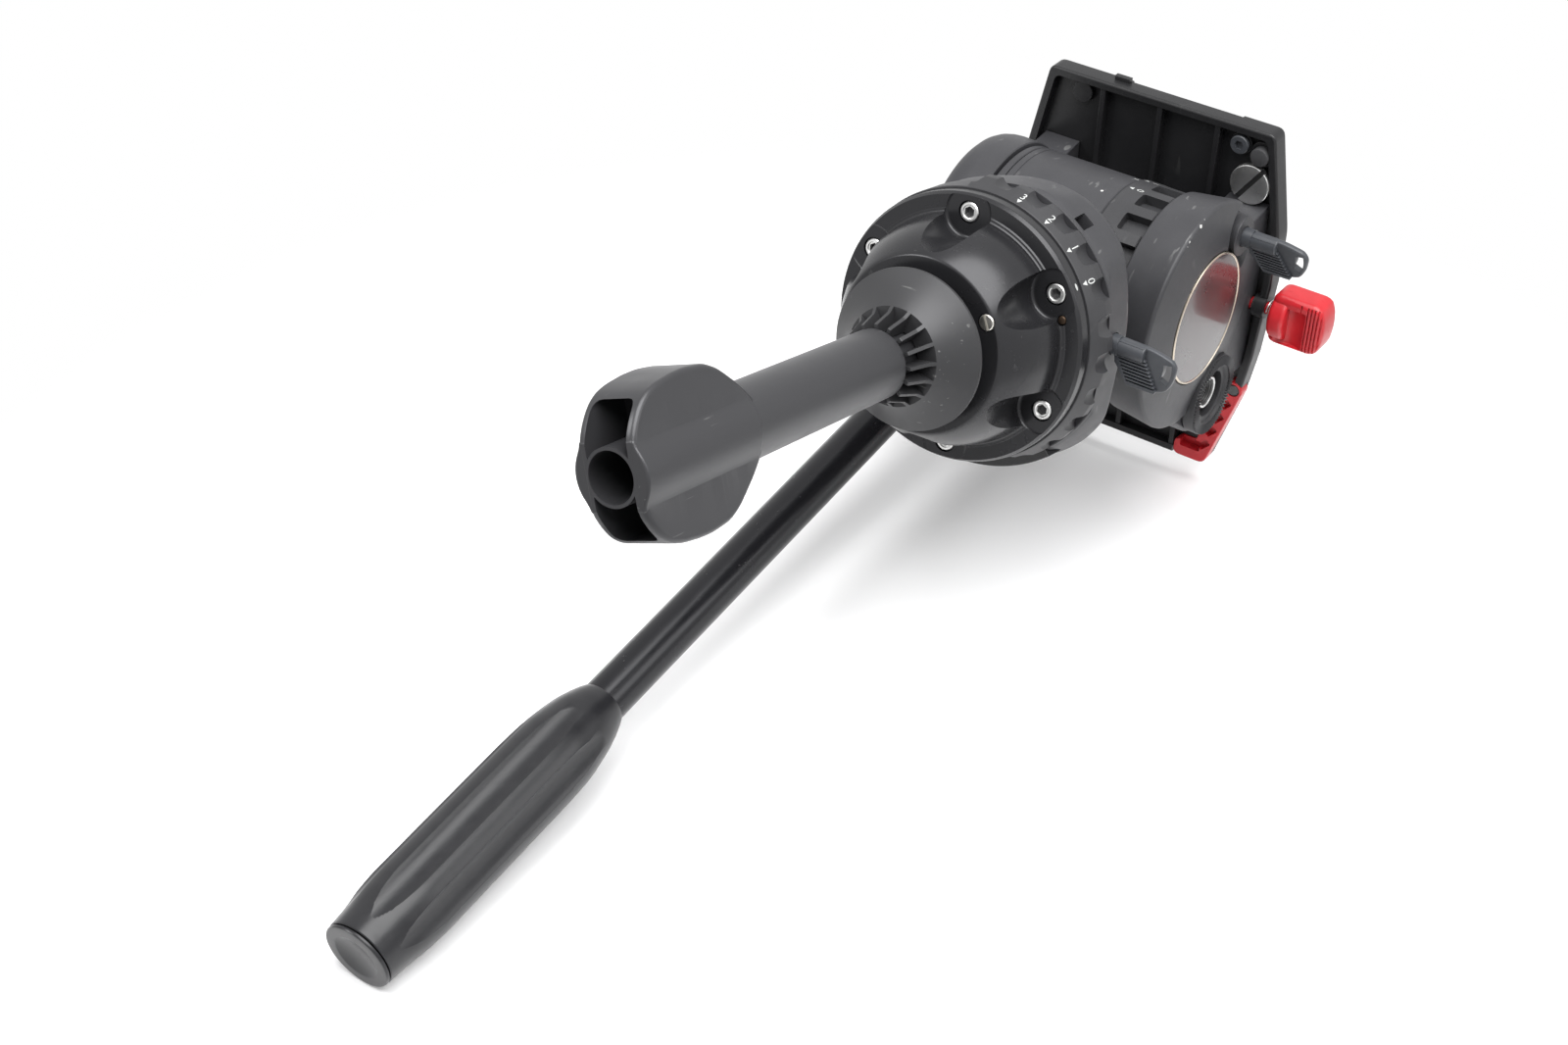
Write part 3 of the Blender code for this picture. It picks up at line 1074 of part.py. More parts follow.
def platform(parent):
    """The camera platform: ribbed tray below, plate channel between two rails above."""
    body = plate("platform", platform_outline(), PLATFORM_RIM, RAIL_TOP, CAST, parent)
    bevel(body, PLATFORM_BEVEL, 1)
    tray = plate("platform_tray", platform_outline(PLATFORM_WALL), PLATFORM_RIM - OVERRUN,
                 PLATFORM_WEB, None, parent)
    channel = box("platform_channel", (CHANNEL_LEFT, -PLATFORM_REAR - OVERRUN,
                                       PLATFORM_FLOOR),
                  (CHANNEL_RIGHT, PLATFORM_FRONT + OVERRUN, RAIL_TOP + OVERRUN), None,
                  parent)
    jaw_bay = box("platform_jaw_bay",
                  (CHANNEL_LEFT - JAW_WIDTH - GAP, JAW_REAR - GAP, PLATFORM_FLOOR),
                  (CHANNEL_LEFT + OVERRUN, JAW_FRONT + GAP, RAIL_TOP + OVERRUN), None,
                  parent)
    foot_slot = box("platform_jaw_slot",
                    (CHANNEL_LEFT - JAW_WIDTH - GAP, CLAMP_Y - JAW_FOOT_WIDTH / 2 - GAP,
                     PLATFORM_WEB - OVERRUN),
                    (CHANNEL_LEFT + JAW_TRAVEL + GAP, CLAMP_Y + JAW_FOOT_WIDTH / 2 + GAP,
                     PLATFORM_FLOOR + OVERRUN), None, parent)
    shaft = rod("platform_shaft_hole", CLAMP_SHAFT_RADIUS + GAP,
                -platform_half_width - OVERRUN, PLATFORM_WALL * 2 - platform_half_width,
                None, parent, (0, CLAMP_Y, CLAMP_Z), SPIN_X)
    boss = rod("platform_clamp_boss", CLAMP_BOSS_RADIUS, GAP - platform_half_width,
               CLAMP_BOSS_LENGTH - platform_half_width, None, parent,
               (0, CLAMP_Y, CLAMP_Z), SPIN_X, sides=MEDIUM)
    cut(body, tray)
    join(body, boss)
    cut(body, channel, jaw_bay, foot_slot, shaft)
    for x in (-RIB_SPACING, 0, RIB_SPACING):
        join(body, box(f"platform_rib_{x:.3f}",
                       (x - RIB_THICKNESS / 2, PLATFORM_WALL / 2 - PLATFORM_REAR,
                        PLATFORM_RIM + GAP),
                       (x + RIB_THICKNESS / 2, PLATFORM_FRONT - PLATFORM_WALL / 2,
                        PLATFORM_WEB + GAP), None, parent))
    for y in (-PLATFORM_REAR * 0.74, PLATFORM_FRONT * 0.62):
        join(body, box(f"platform_cross_rib_{y:.3f}",
                       (PLATFORM_WALL / 2 - RIB_SPACING * 1.3, y - RIB_THICKNESS / 2,
                        PLATFORM_RIM + 2 * GAP),
                       (RIB_SPACING * 1.3 - PLATFORM_WALL / 2, y + RIB_THICKNESS / 2,
                        PLATFORM_WEB + GAP), None, parent))
    for number, (x, y, radius) in enumerate((
            (spare_x, SPARE_Y, SPARE_HEAD_RADIUS - GAP),
            (-small_spare_x, SMALL_SPARE_Y, BOSS_RADIUS),
            (small_spare_x, SMALL_SPARE_Y, BOSS_RADIUS),
            (button_x, BUTTON_Y, BUTTON_RADIUS + BOSS_RADIUS / 3))):
        join(body, rod(f"platform_boss_{number}", radius,
                       PLATFORM_WEB - BOSS_RADIUS / 2, PLATFORM_WEB + GAP, None, parent,
                       (x, y, 0), sides=MEDIUM))
    cut(body,
        rod("platform_spare_hole", SPARE_SHANK_RADIUS + GAP, PLATFORM_WEB - BOSS_RADIUS,
            RAIL_TOP - GAP * 2, None, parent, (spare_x, SPARE_Y, 0), sides=COARSE),
        rod("platform_small_spare_hole", SMALL_SPARE_RADIUS / 2 + GAP,
            PLATFORM_WEB - BOSS_RADIUS, PLATFORM_FLOOR, None, parent,
            (small_spare_x, SMALL_SPARE_Y, 0)),
        rod("platform_button_hole", BUTTON_RADIUS + GAP, PLATFORM_RIM - OVERRUN,
            PLATFORM_FLOOR + GAP, None, parent, (button_x, BUTTON_Y, 0), sides=MEDIUM),
        catch_plate("platform_catch_recess", None, parent))
    for side in (-1, 1):
        for y in (CHEEK_SCREW_MIDDLE - CHEEK_SCREW_SPREAD,
                  CHEEK_SCREW_MIDDLE + CHEEK_SCREW_SPREAD):
            at = (side * cheek_screw_x, y, RAIL_TOP - GAP)
            cut(body, turned(f"platform_counterbore_{side}_{y:.3f}", [
                (0, OVERRUN),
                (CHEEK_SCREW_RADIUS + GAP, OVERRUN),
                (CHEEK_SCREW_RADIUS + GAP, -CHEEK_SCREW_HEIGHT - GAP),
                (CHEEK_SCREW_SHANK + GAP, -CHEEK_SCREW_HEIGHT - GAP),
                (CHEEK_SCREW_SHANK + GAP, PLATFORM_WEB - RAIL_TOP - OVERRUN),
                (0, PLATFORM_WEB - RAIL_TOP - OVERRUN)], None, parent, at, steps=COARSE,
                closed=False))
    nib = box("platform_nib", (CHANNEL_RIGHT, PLATFORM_FRONT - OVERRUN,
                               PLATFORM_WEB),
              (CHANNEL_RIGHT + NIB_WIDTH, PLATFORM_FRONT + NIB_DEPTH,
               RAIL_TOP - NIB_DEPTH), None, parent)
    join(body, nib)
    return body


def catch_frame():
    """The corner catch's pivot, and unit vectors along its arm and out of the edge."""
    shares = PLATFORM_SHARES[-2:]
    bend, corner = [Vector((-platform_half_width * x, PLATFORM_FRONT * front
                            - PLATFORM_REAR * rear)) for x, front, rear in shares]
    along = (corner - bend).normalized()
    outwards = Vector((along.y, -along.x))
    pivot = bend - along * CATCH_LEAD - outwards * (CATCH_WIDTH / 2 - CATCH_PROUD)
    return pivot, along, outwards, corner


def catch_plate(name, finish, parent):
    """The corner catch's L shape, or the recess for it in the platform."""
    pivot, along, outwards, corner = catch_frame()
    slack, proud = (GAP, OVERRUN) if finish is None else (0, CATCH_PROUD)
    half = CATCH_WIDTH / 2 + slack
    facing = atan2(outwards.y, outwards.x)
    head = arc(tuple(pivot), half, facing, facing - pi, 8)
    rear_inner = CATCH_WIDTH - PLATFORM_REAR + slack
    side = pivot - outwards * half
    elbow = side + along * ((rear_inner - side.y) / along.y)
    outer = corner + outwards * proud
    outline = [tuple(pivot + outwards * (CATCH_WIDTH / 2 - CATCH_PROUD + proud))]
    outline += head + [
        tuple(elbow),
        (CATCH_REAR_END + slack, rear_inner),
        (CATCH_REAR_END + slack, -PLATFORM_REAR - proud),
        (corner.x + proud, -PLATFORM_REAR - proud),
        tuple(outer)]
    if finish is not None:
        outline.pop(0)
    low = PLATFORM_RIM - (OVERRUN if finish is None else 0)
    return plate(name, outline, low, CATCH_TOP + slack, finish, parent)


def platform_fittings(parent):
    """Spare screws, release button, corner catch, clamp jaw and the red knob."""
    face = PLATFORM_WEB - BOSS_RADIUS / 2 - GAP
    spare = turned("spare_screw", [
        (0, RAIL_TOP - 3 * GAP),
        (SPARE_SHANK_RADIUS, RAIL_TOP - 3 * GAP),
        (SPARE_SHANK_RADIUS, face),
        (SPARE_HEAD_RADIUS, face),
        (SPARE_HEAD_RADIUS, face - SPARE_HEAD_HEIGHT * 0.85),
        (SPARE_HEAD_RADIUS * 0.95, face - SPARE_HEAD_HEIGHT),
        (0, face - SPARE_HEAD_HEIGHT)], BRIGHT, parent, (spare_x, SPARE_Y, 0), closed=False)
    cut(spare, box("spare_slot", (-SPARE_HEAD_RADIUS * 2, -SPARE_SLOT_WIDTH / 2,
                                  face - SPARE_HEAD_HEIGHT - OVERRUN),
                   (SPARE_HEAD_RADIUS * 2, SPARE_SLOT_WIDTH / 2,
                    face - SPARE_HEAD_HEIGHT / 2), None, parent, (spare_x, SPARE_Y, 0),
                   (0, 0, radians(35))))
    small = turned("small_spare_screw", [
        (0, PLATFORM_FLOOR - GAP),
        (SMALL_SPARE_RADIUS / 2, PLATFORM_FLOOR - GAP),
        (SMALL_SPARE_RADIUS / 2, face),
        (SMALL_SPARE_RADIUS, face),
        (SMALL_SPARE_RADIUS, face - SMALL_SPARE_RADIUS / 2),
        (0, face - SMALL_SPARE_RADIUS / 2)], BRIGHT, parent,
        (small_spare_x, SMALL_SPARE_Y, 0), steps=COARSE, closed=False)
    cut(small, rod("small_spare_socket", SMALL_SPARE_RADIUS / 2,
                   face - SMALL_SPARE_RADIUS, face - SMALL_SPARE_RADIUS / 4, None, parent,
                   (small_spare_x, SMALL_SPARE_Y, 0), sides=6))
    top = PLATFORM_FLOOR - BUTTON_TRAVEL
    turned("lock_button", [
        (0, top),
        (BUTTON_RADIUS, top),
        (BUTTON_RADIUS, top - BUTTON_LENGTH),
        (BUTTON_RADIUS * 0.85, top - BUTTON_LENGTH * 1.1),
        (0, top - BUTTON_LENGTH * 1.1)], LEVER, parent, (button_x, BUTTON_Y, 0),
        closed=False)
    corner_catch(parent)
    clamp(parent)


def corner_catch(parent):
    """The red corner catch on its pin."""
    start, along, _, corner = catch_frame()
    pivot = (start.x, start.y, 0)
    catch = catch_plate("corner_catch", RED_PLASTIC, parent)
    bevel(catch, CATCH_PROUD, 1)
    cut(catch, turned("catch_pin_hole", [
        (0, CATCH_TOP + OVERRUN),
        (CATCH_PIN_RADIUS + GAP, CATCH_TOP + OVERRUN),
        (CATCH_PIN_RADIUS + GAP, PLATFORM_RIM + CATCH_PIN_HEAD + GAP),
        (CATCH_PIN_HEAD_RADIUS + GAP, PLATFORM_RIM + CATCH_PIN_HEAD + GAP),
        (CATCH_PIN_HEAD_RADIUS + GAP, PLATFORM_RIM - OVERRUN),
        (0, PLATFORM_RIM - OVERRUN)], None, parent, pivot, steps=COARSE, closed=False))
    heading = atan2(along.y, along.x)
    length = (corner - start).dot(along)
    for number in range(CATCH_POCKETS):
        middle = start + along * length * (number + 1) / (CATCH_POCKETS + 1)
        pocket = box(f"catch_pocket_{number}",
                     (-CATCH_WIDTH / 3, -CATCH_WIDTH / 5, PLATFORM_RIM - OVERRUN),
                     (CATCH_WIDTH / 3, CATCH_WIDTH / 5,
                      (PLATFORM_RIM + CATCH_TOP) / 2), None, parent,
                     (middle.x, middle.y, 0), (0, 0, heading))
        cut(catch, pocket)
    pin = turned("catch_pin", [
        (0, PLATFORM_FLOOR),
        (CATCH_PIN_RADIUS, PLATFORM_FLOOR),
        (CATCH_PIN_RADIUS, PLATFORM_RIM + CATCH_PIN_HEAD),
        (CATCH_PIN_HEAD_RADIUS, PLATFORM_RIM + CATCH_PIN_HEAD),
        (CATCH_PIN_HEAD_RADIUS, PLATFORM_RIM),
        (0, PLATFORM_RIM)], BRIGHT, parent, pivot, steps=COARSE, closed=False)
    return pin


def clamp(parent):
    """The jaw that grips the camera plate, and the red knob and spring that drive it."""
    low = PLATFORM_FLOOR + GAP
    left, right = CHANNEL_LEFT - JAW_WIDTH, CHANNEL_LEFT
    jaw = plate("clamp_jaw", [
        (left, low),
        (right - JAW_UNDERCUT, low),
        (right, RAIL_TOP - GAP),
        (left, RAIL_TOP - GAP)], -JAW_FRONT, -JAW_REAR, BRIGHT, parent,
        rotation=(pi / 2, 0, 0))
    foot = box("clamp_jaw_foot",
               (left, CLAMP_Y - JAW_FOOT_WIDTH / 2, JAW_FOOT_BOTTOM),
               (right - JAW_UNDERCUT, CLAMP_Y + JAW_FOOT_WIDTH / 2, low + GAP), None, parent)
    hole = rod("clamp_jaw_hole", CLAMP_SHAFT_RADIUS + GAP, left - OVERRUN,
               right + OVERRUN, None, parent, (0, CLAMP_Y, CLAMP_Z), SPIN_X)
    join(jaw, foot)
    cut(jaw, hole)
    cut(bpy.data.objects["platform"], rod(
        "platform_catch_pin_hole", CATCH_PIN_RADIUS + GAP, CATCH_TOP - OVERRUN,
        PLATFORM_FLOOR + GAP, None, parent,
        tuple(catch_frame()[0]) + (0,)))
    frame = joint_frame("clamp_axis", parent, (0, CLAMP_Y, CLAMP_Z))
    start, end = -knob_start, -knob_start - KNOB_LENGTH
    outline = [((start + end) / 2 + KNOB_LENGTH * x, KNOB_WIDTH * y)
               for x, y in KNOB_SHARES]
    knob = plate("clamp_knob", outline, -KNOB_THICKNESS / 2, KNOB_THICKNESS / 2,
                 RED_PLASTIC, frame)
    bevel(knob, KNOB_THICKNESS / 6)
    for side in (-1, 1):
        for half in (-1, 1):
            scoop = rod(f"knob_scoop_{side}_{half}", KNOB_SCOOP_RADIUS,
                        -KNOB_LENGTH * 0.22, KNOB_LENGTH, None, frame,
                        (-knob_start - KNOB_LENGTH * 0.55, half * KNOB_WIDTH * 0.34,
                         side * (KNOB_THICKNESS / 2 + KNOB_SCOOP_RADIUS
                                 - KNOB_SCOOP_DEPTH)), (0, -pi / 2, 0), sides=MEDIUM)
            cut(knob, scoop)
    shapes = []
    for side in (-1, 1):
        for i in range(KNOB_GROOVES):
            shape = bmesh.new()
            bmesh.ops.create_cube(shape, size=1)
            bmesh.ops.scale(shape, vec=(KNOB_GROOVE_WIDTH, KNOB_WIDTH * 0.5,
                                        KNOB_GROOVE_WIDTH * 2), verts=shape.verts)
            bmesh.ops.translate(
                shape, vec=(end + KNOB_GROOVE_WIDTH * (2 * i + 3), 0,
                            side * (KNOB_THICKNESS / 2 - KNOB_SCOOP_DEPTH)),
                verts=shape.verts)
            shapes.append(shape)
    grooves = from_bmesh("knob_grooves", merged("knob_grooves", shapes), None, frame,
                         (0, 0, 0), (0, 0, 0))
    shaft = rod("knob_shaft", CLAMP_SHAFT_RADIUS, start - KNOB_LENGTH / 3,
                right - JAW_UNDERCUT, None, frame, rotation=SPIN_X)
    cut(knob, grooves)
    join(knob, shaft)
    spring = coil("clamp_spring", KNOB_SPRING_RADIUS, KNOB_SPRING_WIRE, KNOB_SPRING_TURNS,
                  start + GAP, -platform_half_width - GAP, BRIGHT, frame, SPIN_X)
    return spring


def pan_bar(tilt):
    """The pan bar's bracket, tube, fluted grip, cap and clamping bolt."""
    frame = joint_frame("pan_bar_axis", tilt, (0, ROSETTE_Y, ROSETTE_Z),
                        (radians(-BAR_REST_DEGREES - REST_TILT_DEGREES), 0, 0))
    teeth = CHEEK_OUTER + TOOTH_HEIGHT + 2 * GAP
    bracket = plate("bar_bracket",
                    tear_outline(ROSETTE_RADIUS, (-BAR_OFFSET, 0),
                                 SLEEVE_RADIUS, COARSE),
                    BRACKET_INNER, BRACKET_OUTER, CAST, frame, rotation=SIDE_VIEW)
    bevel(bracket, CHEEK_BEVEL / 2)
    ring = toothed_ring("bar_bracket_teeth", None, frame,
                        (teeth + TOOTH_HEIGHT + ROSETTE_THICKNESS, 0, 0),
                        (0, -pi / 2, 0), 0)
    sleeve = rod("bar_sleeve", SLEEVE_RADIUS, -SLEEVE_HALF_LENGTH, SLEEVE_HALF_LENGTH,
                 None, frame, (BAR_X, -BAR_OFFSET, 0), sides=MEDIUM)
    bore = rod("bar_sleeve_bore", BAR_RADIUS + GAP, -2 * SLEEVE_HALF_LENGTH,
               2 * SLEEVE_HALF_LENGTH, None, frame, (BAR_X, -BAR_OFFSET, 0), sides=MEDIUM)
    bolt_hole = rod("bar_bolt_hole", BOLT_RADIUS + GAP, ARM_FACE, BRACKET_OUTER + OVERRUN,
                    None, frame, rotation=SPIN_X)
    join(bracket, ring, sleeve)
    cut(bracket, bore, bolt_hole)
    bar = (BAR_X, -BAR_OFFSET, 0)
    bore_radius = BAR_RADIUS - BAR_WALL
    cap_top = CAP_THICKNESS - BAR_END
    turned("bar_tube", [
        (BAR_RADIUS, BAR_TOP),
        (BAR_RADIUS, cap_top + GAP),
        (bore_radius, cap_top + GAP),
        (bore_radius, BAR_TOP)], SATIN, frame, bar)
    turned("bar_plug", [
        (0, BAR_TOP + BAR_WALL),
        (BAR_RADIUS - GAP, BAR_TOP + BAR_WALL),
        (BAR_RADIUS, BAR_TOP + GAP),
        (bore_radius - GAP, BAR_TOP + GAP),
        (bore_radius - GAP, BAR_TOP - PLUG_LENGTH),
        (0, BAR_TOP - PLUG_LENGTH)], RING, frame, bar, closed=False)
    length = BAR_END - CAP_THICKNESS - GRIP_START
    grip = turned("bar_grip",
                  [(GRIP_RADIUS * radius, -GRIP_START - length * along)
                   for along, radius in GRIP_SHARES]
                  + [(BAR_RADIUS + GAP, cap_top), (BAR_RADIUS + GAP, -GRIP_START)],
                  SATIN, frame, bar)
    cut(grip, ring_of_rods("grip_flutes", FLUTES, FLUTE_CIRCLE, FLUTE_RADIUS, -BAR_END,
                           -GRIP_START, MEDIUM, FLUTE_PHASE_DEGREES, frame, bar))
    cap = turned("bar_cap", [
        (0, cap_top + PLUG_LENGTH),
        (bore_radius - GAP, cap_top + PLUG_LENGTH),
        (bore_radius - GAP, cap_top - 2 * GAP),
        (GRIP_CAP_RADIUS, cap_top - 2 * GAP),
        (GRIP_CAP_RADIUS, -BAR_END + CAP_DIMPLE_DEPTH),
        (GRIP_CAP_RADIUS - CAP_DIMPLE_DEPTH, -BAR_END),
        (CAP_DIMPLE_RADIUS, -BAR_END),
        (CAP_DIMPLE_RADIUS * 0.7, -BAR_END + CAP_DIMPLE_DEPTH),
        (0, -BAR_END + CAP_DIMPLE_DEPTH)], SATIN, frame, bar, closed=False)
    bar_bolt(frame)
    return cap


def bar_bolt(frame):
    """The lobed knob and bolt that clamp the pan bar's rosette."""
    start = BRACKET_OUTER + GAP
    bolt = turned("bar_bolt", [
        (0, start + BOLT_HEAD_LENGTH),
        (BOLT_HEAD_RADIUS * 0.8, start + BOLT_HEAD_LENGTH),
        (BOLT_HEAD_RADIUS, start + BOLT_HEAD_LENGTH * 0.8),
        (BOLT_HEAD_RADIUS, start),
        (BOLT_RADIUS, start),
        (BOLT_RADIUS, start - BOLT_REACH),
        (0, start - BOLT_REACH)], RING, frame, rotation=SPIN_X, closed=False)
    cut(bolt, ring_of_rods("bar_bolt_lobes", BOLT_LOBES,
                           BOLT_HEAD_RADIUS + BOLT_LOBE_RADIUS / 2, BOLT_LOBE_RADIUS,
                           start - OVERRUN, start + BOLT_HEAD_LENGTH + OVERRUN, COARSE,
                           parent=frame, rotation=SPIN_X))


def counterbalance_dial(tilt, right):
    """A notched dial on the right cheek that sets the counterbalance."""
    start = CHEEK_OUTER + GAP
    dial = turned("counterbalance_dial", [
        (0, start + DIAL_LENGTH),
        (DIAL_RADIUS * 0.9, start + DIAL_LENGTH),
        (DIAL_RADIUS, start + DIAL_LENGTH * 0.8),
        (DIAL_RADIUS, start),
        (DIAL_STEM_RADIUS, start),
        (DIAL_STEM_RADIUS, AXLE_END + 2 * GAP),
        (0, AXLE_END + 2 * GAP)], RING, tilt, rotation=SPIN_X, steps=FINE, closed=False)
    cut(dial, ring_of_rods("dial_notches", DIAL_NOTCHES, DIAL_RADIUS + DIAL_STEM_RADIUS / 4,
                           DIAL_STEM_RADIUS / 2, start - OVERRUN,
                           start + DIAL_LENGTH + OVERRUN, COARSE, parent=tilt,
                           rotation=SPIN_X))
    cut(right, rod("dial_stem_hole", DIAL_STEM_RADIUS + GAP, AXLE_END,
                   CHEEK_OUTER + OVERRUN, None, tilt, rotation=SPIN_X, sides=MEDIUM))


def tie_down():
    """Stud, clamp washer, and the long handle with its nut and wing."""
    turned("tie_down_stud", [
        (0, SPINDLE_SOCKET - BALL_WEB - SPINDLE_FOOT - GAP),
        (STUD_RADIUS, SPINDLE_SOCKET - BALL_WEB - SPINDLE_FOOT - GAP),
        (STUD_RADIUS, -BALL_WEB - SPINDLE_FOOT - GAP),
        (STUD_COLLAR_RADIUS, -BALL_WEB - SPINDLE_FOOT - GAP),
        (STUD_COLLAR_RADIUS, -BALL_WEB - SPINDLE_FOOT - GAP - STUD_COLLAR_HEIGHT),
        (STUD_RADIUS, -BALL_WEB - SPINDLE_FOOT - GAP - STUD_COLLAR_HEIGHT),
        (STUD_RADIUS, -STUD_END),
        (0, -STUD_END)], BRIGHT, steps=COARSE, closed=False)
    spigot_top = TUBE_SPIGOT - TUBE_TOP
    cage_bore = TUBE_SPIGOT_RADIUS + 2 * GAP
    cage_end = GAP - TUBE_TOP
    rim_low = -WASHER_TOP - WASHER_EDGE
    washer = turned("clamp_washer", [
        (WASHER_RADIUS, -WASHER_TOP),
        (WASHER_RADIUS, rim_low),
        (WASHER_NECK_RADIUS, -WASHER_NECK),
        (TUBE_RADIUS + WASHER_EDGE, cage_end),
        (cage_bore, cage_end),
        (cage_bore, spigot_top + GAP),
        (STUD_RADIUS + GAP, spigot_top + GAP),
        (STUD_RADIUS + GAP, spigot_top + WASHER_WALL),
        (WASHER_NECK_RADIUS, spigot_top + WASHER_WALL),
        (WASHER_RADIUS - WASHER_WALL, -WASHER_TOP)], SATIN, steps=FINE)
    cut(washer, ring_of_boxes(
        "washer_windows", WASHER_WINDOWS, cage_bore - GAP, WASHER_NECK_RADIUS + OVERRUN,
        pi * TUBE_RADIUS / WASHER_WINDOWS, WASHER_WALL / 2 - TUBE_TOP,
        -WASHER_NECK - WASHER_EDGE))
    wing_height = WING_END - WING_TOP
    half = [(WING_HALF_WIDTH * u, -WING_TOP - wing_height * along)
            for u, along in WING_SHARES]
    handle = turned("tie_down_handle", [
        (0, spigot_top),
        (TUBE_SPIGOT_RADIUS, spigot_top),
        (TUBE_SPIGOT_RADIUS, -TUBE_TOP),
        (TUBE_RADIUS, -TUBE_TOP),
        (TUBE_FOOT_RADIUS, -WING_TOP),
        (WING_HUB_RADIUS, -WING_TOP - WING_HUB_RISE),
        (WING_HUB_RADIUS, GAP - WING_END),
        (0, GAP - WING_END)], SATIN, closed=False)
    wing = plate("tie_down_wing", half + [(-u, z) for u, z in reversed(half)],
                 -WING_THICKNESS / 2, WING_THICKNESS / 2, None, None,
                 rotation=(pi / 2, 0, radians(WING_ANGLE_DEGREES)))
    bevel(wing, WING_EDGE, 2)
    bore = rod("tie_down_bore", TUBE_BORE, -WING_END - OVERRUN, spigot_top + OVERRUN,
               sides=MEDIUM)
    join(handle, wing)
    cut(handle, bore)
    for side in (-1, 1):
        low, high = sorted((side * POCKET_INNER, side * POCKET_OUTER))
        cut(handle, box(f"wing_pocket_{side}",
                        (low, -POCKET_THICKNESS / 2, -WING_END - OVERRUN),
                        (high, POCKET_THICKNESS / 2, POCKET_DEPTH - WING_END),
                        rotation=(0, 0, radians(WING_ANGLE_DEGREES))))
    turned("tie_down_nut", [
        (TUBE_BORE - GAP, spigot_top - GAP),
        (TUBE_BORE - GAP, spigot_top - INNER_NUT_LENGTH),
        (STUD_RADIUS + GAP, spigot_top - INNER_NUT_LENGTH),
        (STUD_RADIUS + GAP, spigot_top - GAP)], BRASSY)


half_ball()
flange_screws()
pan_core()
pan_drag_ring()
pan_housing()
level()
pan_inside()
tilt_inside()
tilt_drag_ring()
brake_lever("pan_brake_lever", None, (pan_lever_x, PAN_LEVER_Y, PAN_LEVER_Z),
            PAN_LEVER_RISE_DEGREES)
tilt_axis = joint_frame("tilt_axis", None, (0, 0, TILT_HEIGHT),
                        (radians(REST_TILT_DEGREES), 0, 0))
left_cheek, right_cheek = cheeks(tilt_axis)
brake_lever("tilt_brake_lever", tilt_axis, (TILT_LEVER_X, TILT_LEVER_Y, TILT_LEVER_Z),
            TILT_LEVER_RISE_DEGREES)
platform(tilt_axis)
platform_fittings(tilt_axis)
pan_bar(tilt_axis)
counterbalance_dial(tilt_axis, right_cheek)
tie_down()
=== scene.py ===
# %% [markdown]
# # A fluid video head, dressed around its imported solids
# A video head lets a camera pan and tilt smoothly. This one has a half ball that sits in a
# tripod's bowl, a drum between two cheeks that holds the drag, a platform for the camera and
# a bar to steer with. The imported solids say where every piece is. Here each visible piece is
# made again with rounder edges and finer detail, and then given its finish.

# %% The frame
from math import acos, atan2, cos, degrees, hypot, pi, radians, sin, sqrt

import bmesh
import bpy
from mathutils import Euler, Matrix, Vector


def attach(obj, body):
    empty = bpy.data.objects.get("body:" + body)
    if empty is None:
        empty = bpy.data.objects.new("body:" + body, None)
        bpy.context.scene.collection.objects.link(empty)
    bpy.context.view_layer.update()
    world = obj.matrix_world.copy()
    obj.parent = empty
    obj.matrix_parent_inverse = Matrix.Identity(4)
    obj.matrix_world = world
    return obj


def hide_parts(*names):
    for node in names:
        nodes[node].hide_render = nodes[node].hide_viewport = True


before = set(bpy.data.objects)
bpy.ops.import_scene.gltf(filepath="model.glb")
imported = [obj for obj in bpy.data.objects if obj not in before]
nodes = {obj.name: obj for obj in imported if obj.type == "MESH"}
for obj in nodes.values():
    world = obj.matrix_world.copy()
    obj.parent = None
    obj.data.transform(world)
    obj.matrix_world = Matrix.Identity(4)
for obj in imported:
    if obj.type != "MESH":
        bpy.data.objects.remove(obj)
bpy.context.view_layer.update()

# %% [markdown]
# ## Drawing in millimetres
# The shapes are drawn in millimetres, because a head's sizes read best that way, and each
# finished mesh is made metres once, at the end. A few places are used again and again: the
# tilt axis, the platform's frame on it, the shaft of the platform's clamp, the pan bar's
# frame, and a turn that lays a shape along X.

# %% Places
MM = 0.001
GAP = 0.3
UPRIGHT = Matrix.Identity(4)
ALONG_X = Matrix.Rotation(pi / 2, 4, "Y")
SIDEWAYS = Euler((pi / 2, 0, pi / 2)).to_matrix().to_4x4()   # an outline in XY goes to YZ
AXIS = Matrix.Translation((0, 0, 89))
TILT = AXIS @ Matrix.Rotation(radians(-12.63), 4, "X")
CLAMP = TILT @ Matrix.Translation((0, -16.5, 46.4))
ROSETTE = (0, -38.5, 15.5)
BAR = TILT @ Matrix.Translation(ROSETTE) @ Matrix.Rotation(radians(-9.32), 4, "X")
BAR_LINE = BAR @ Matrix.Translation((61, -23.4, 0))


def at(x, y, z):
    return Matrix.Translation((x, y, z))


def polar(radius, angle):
    return radius * cos(radians(angle)), radius * sin(radians(angle))


# %% [markdown]
# ## Turned pieces and slabs
# Most of the head is turned on a lathe or cast with flat faces and rounded edges. A turned
# piece is a profile that goes round an axis. A slab is a flat outline with a thickness, and
# a 2D curve gives it rounded rims without a single modifier.

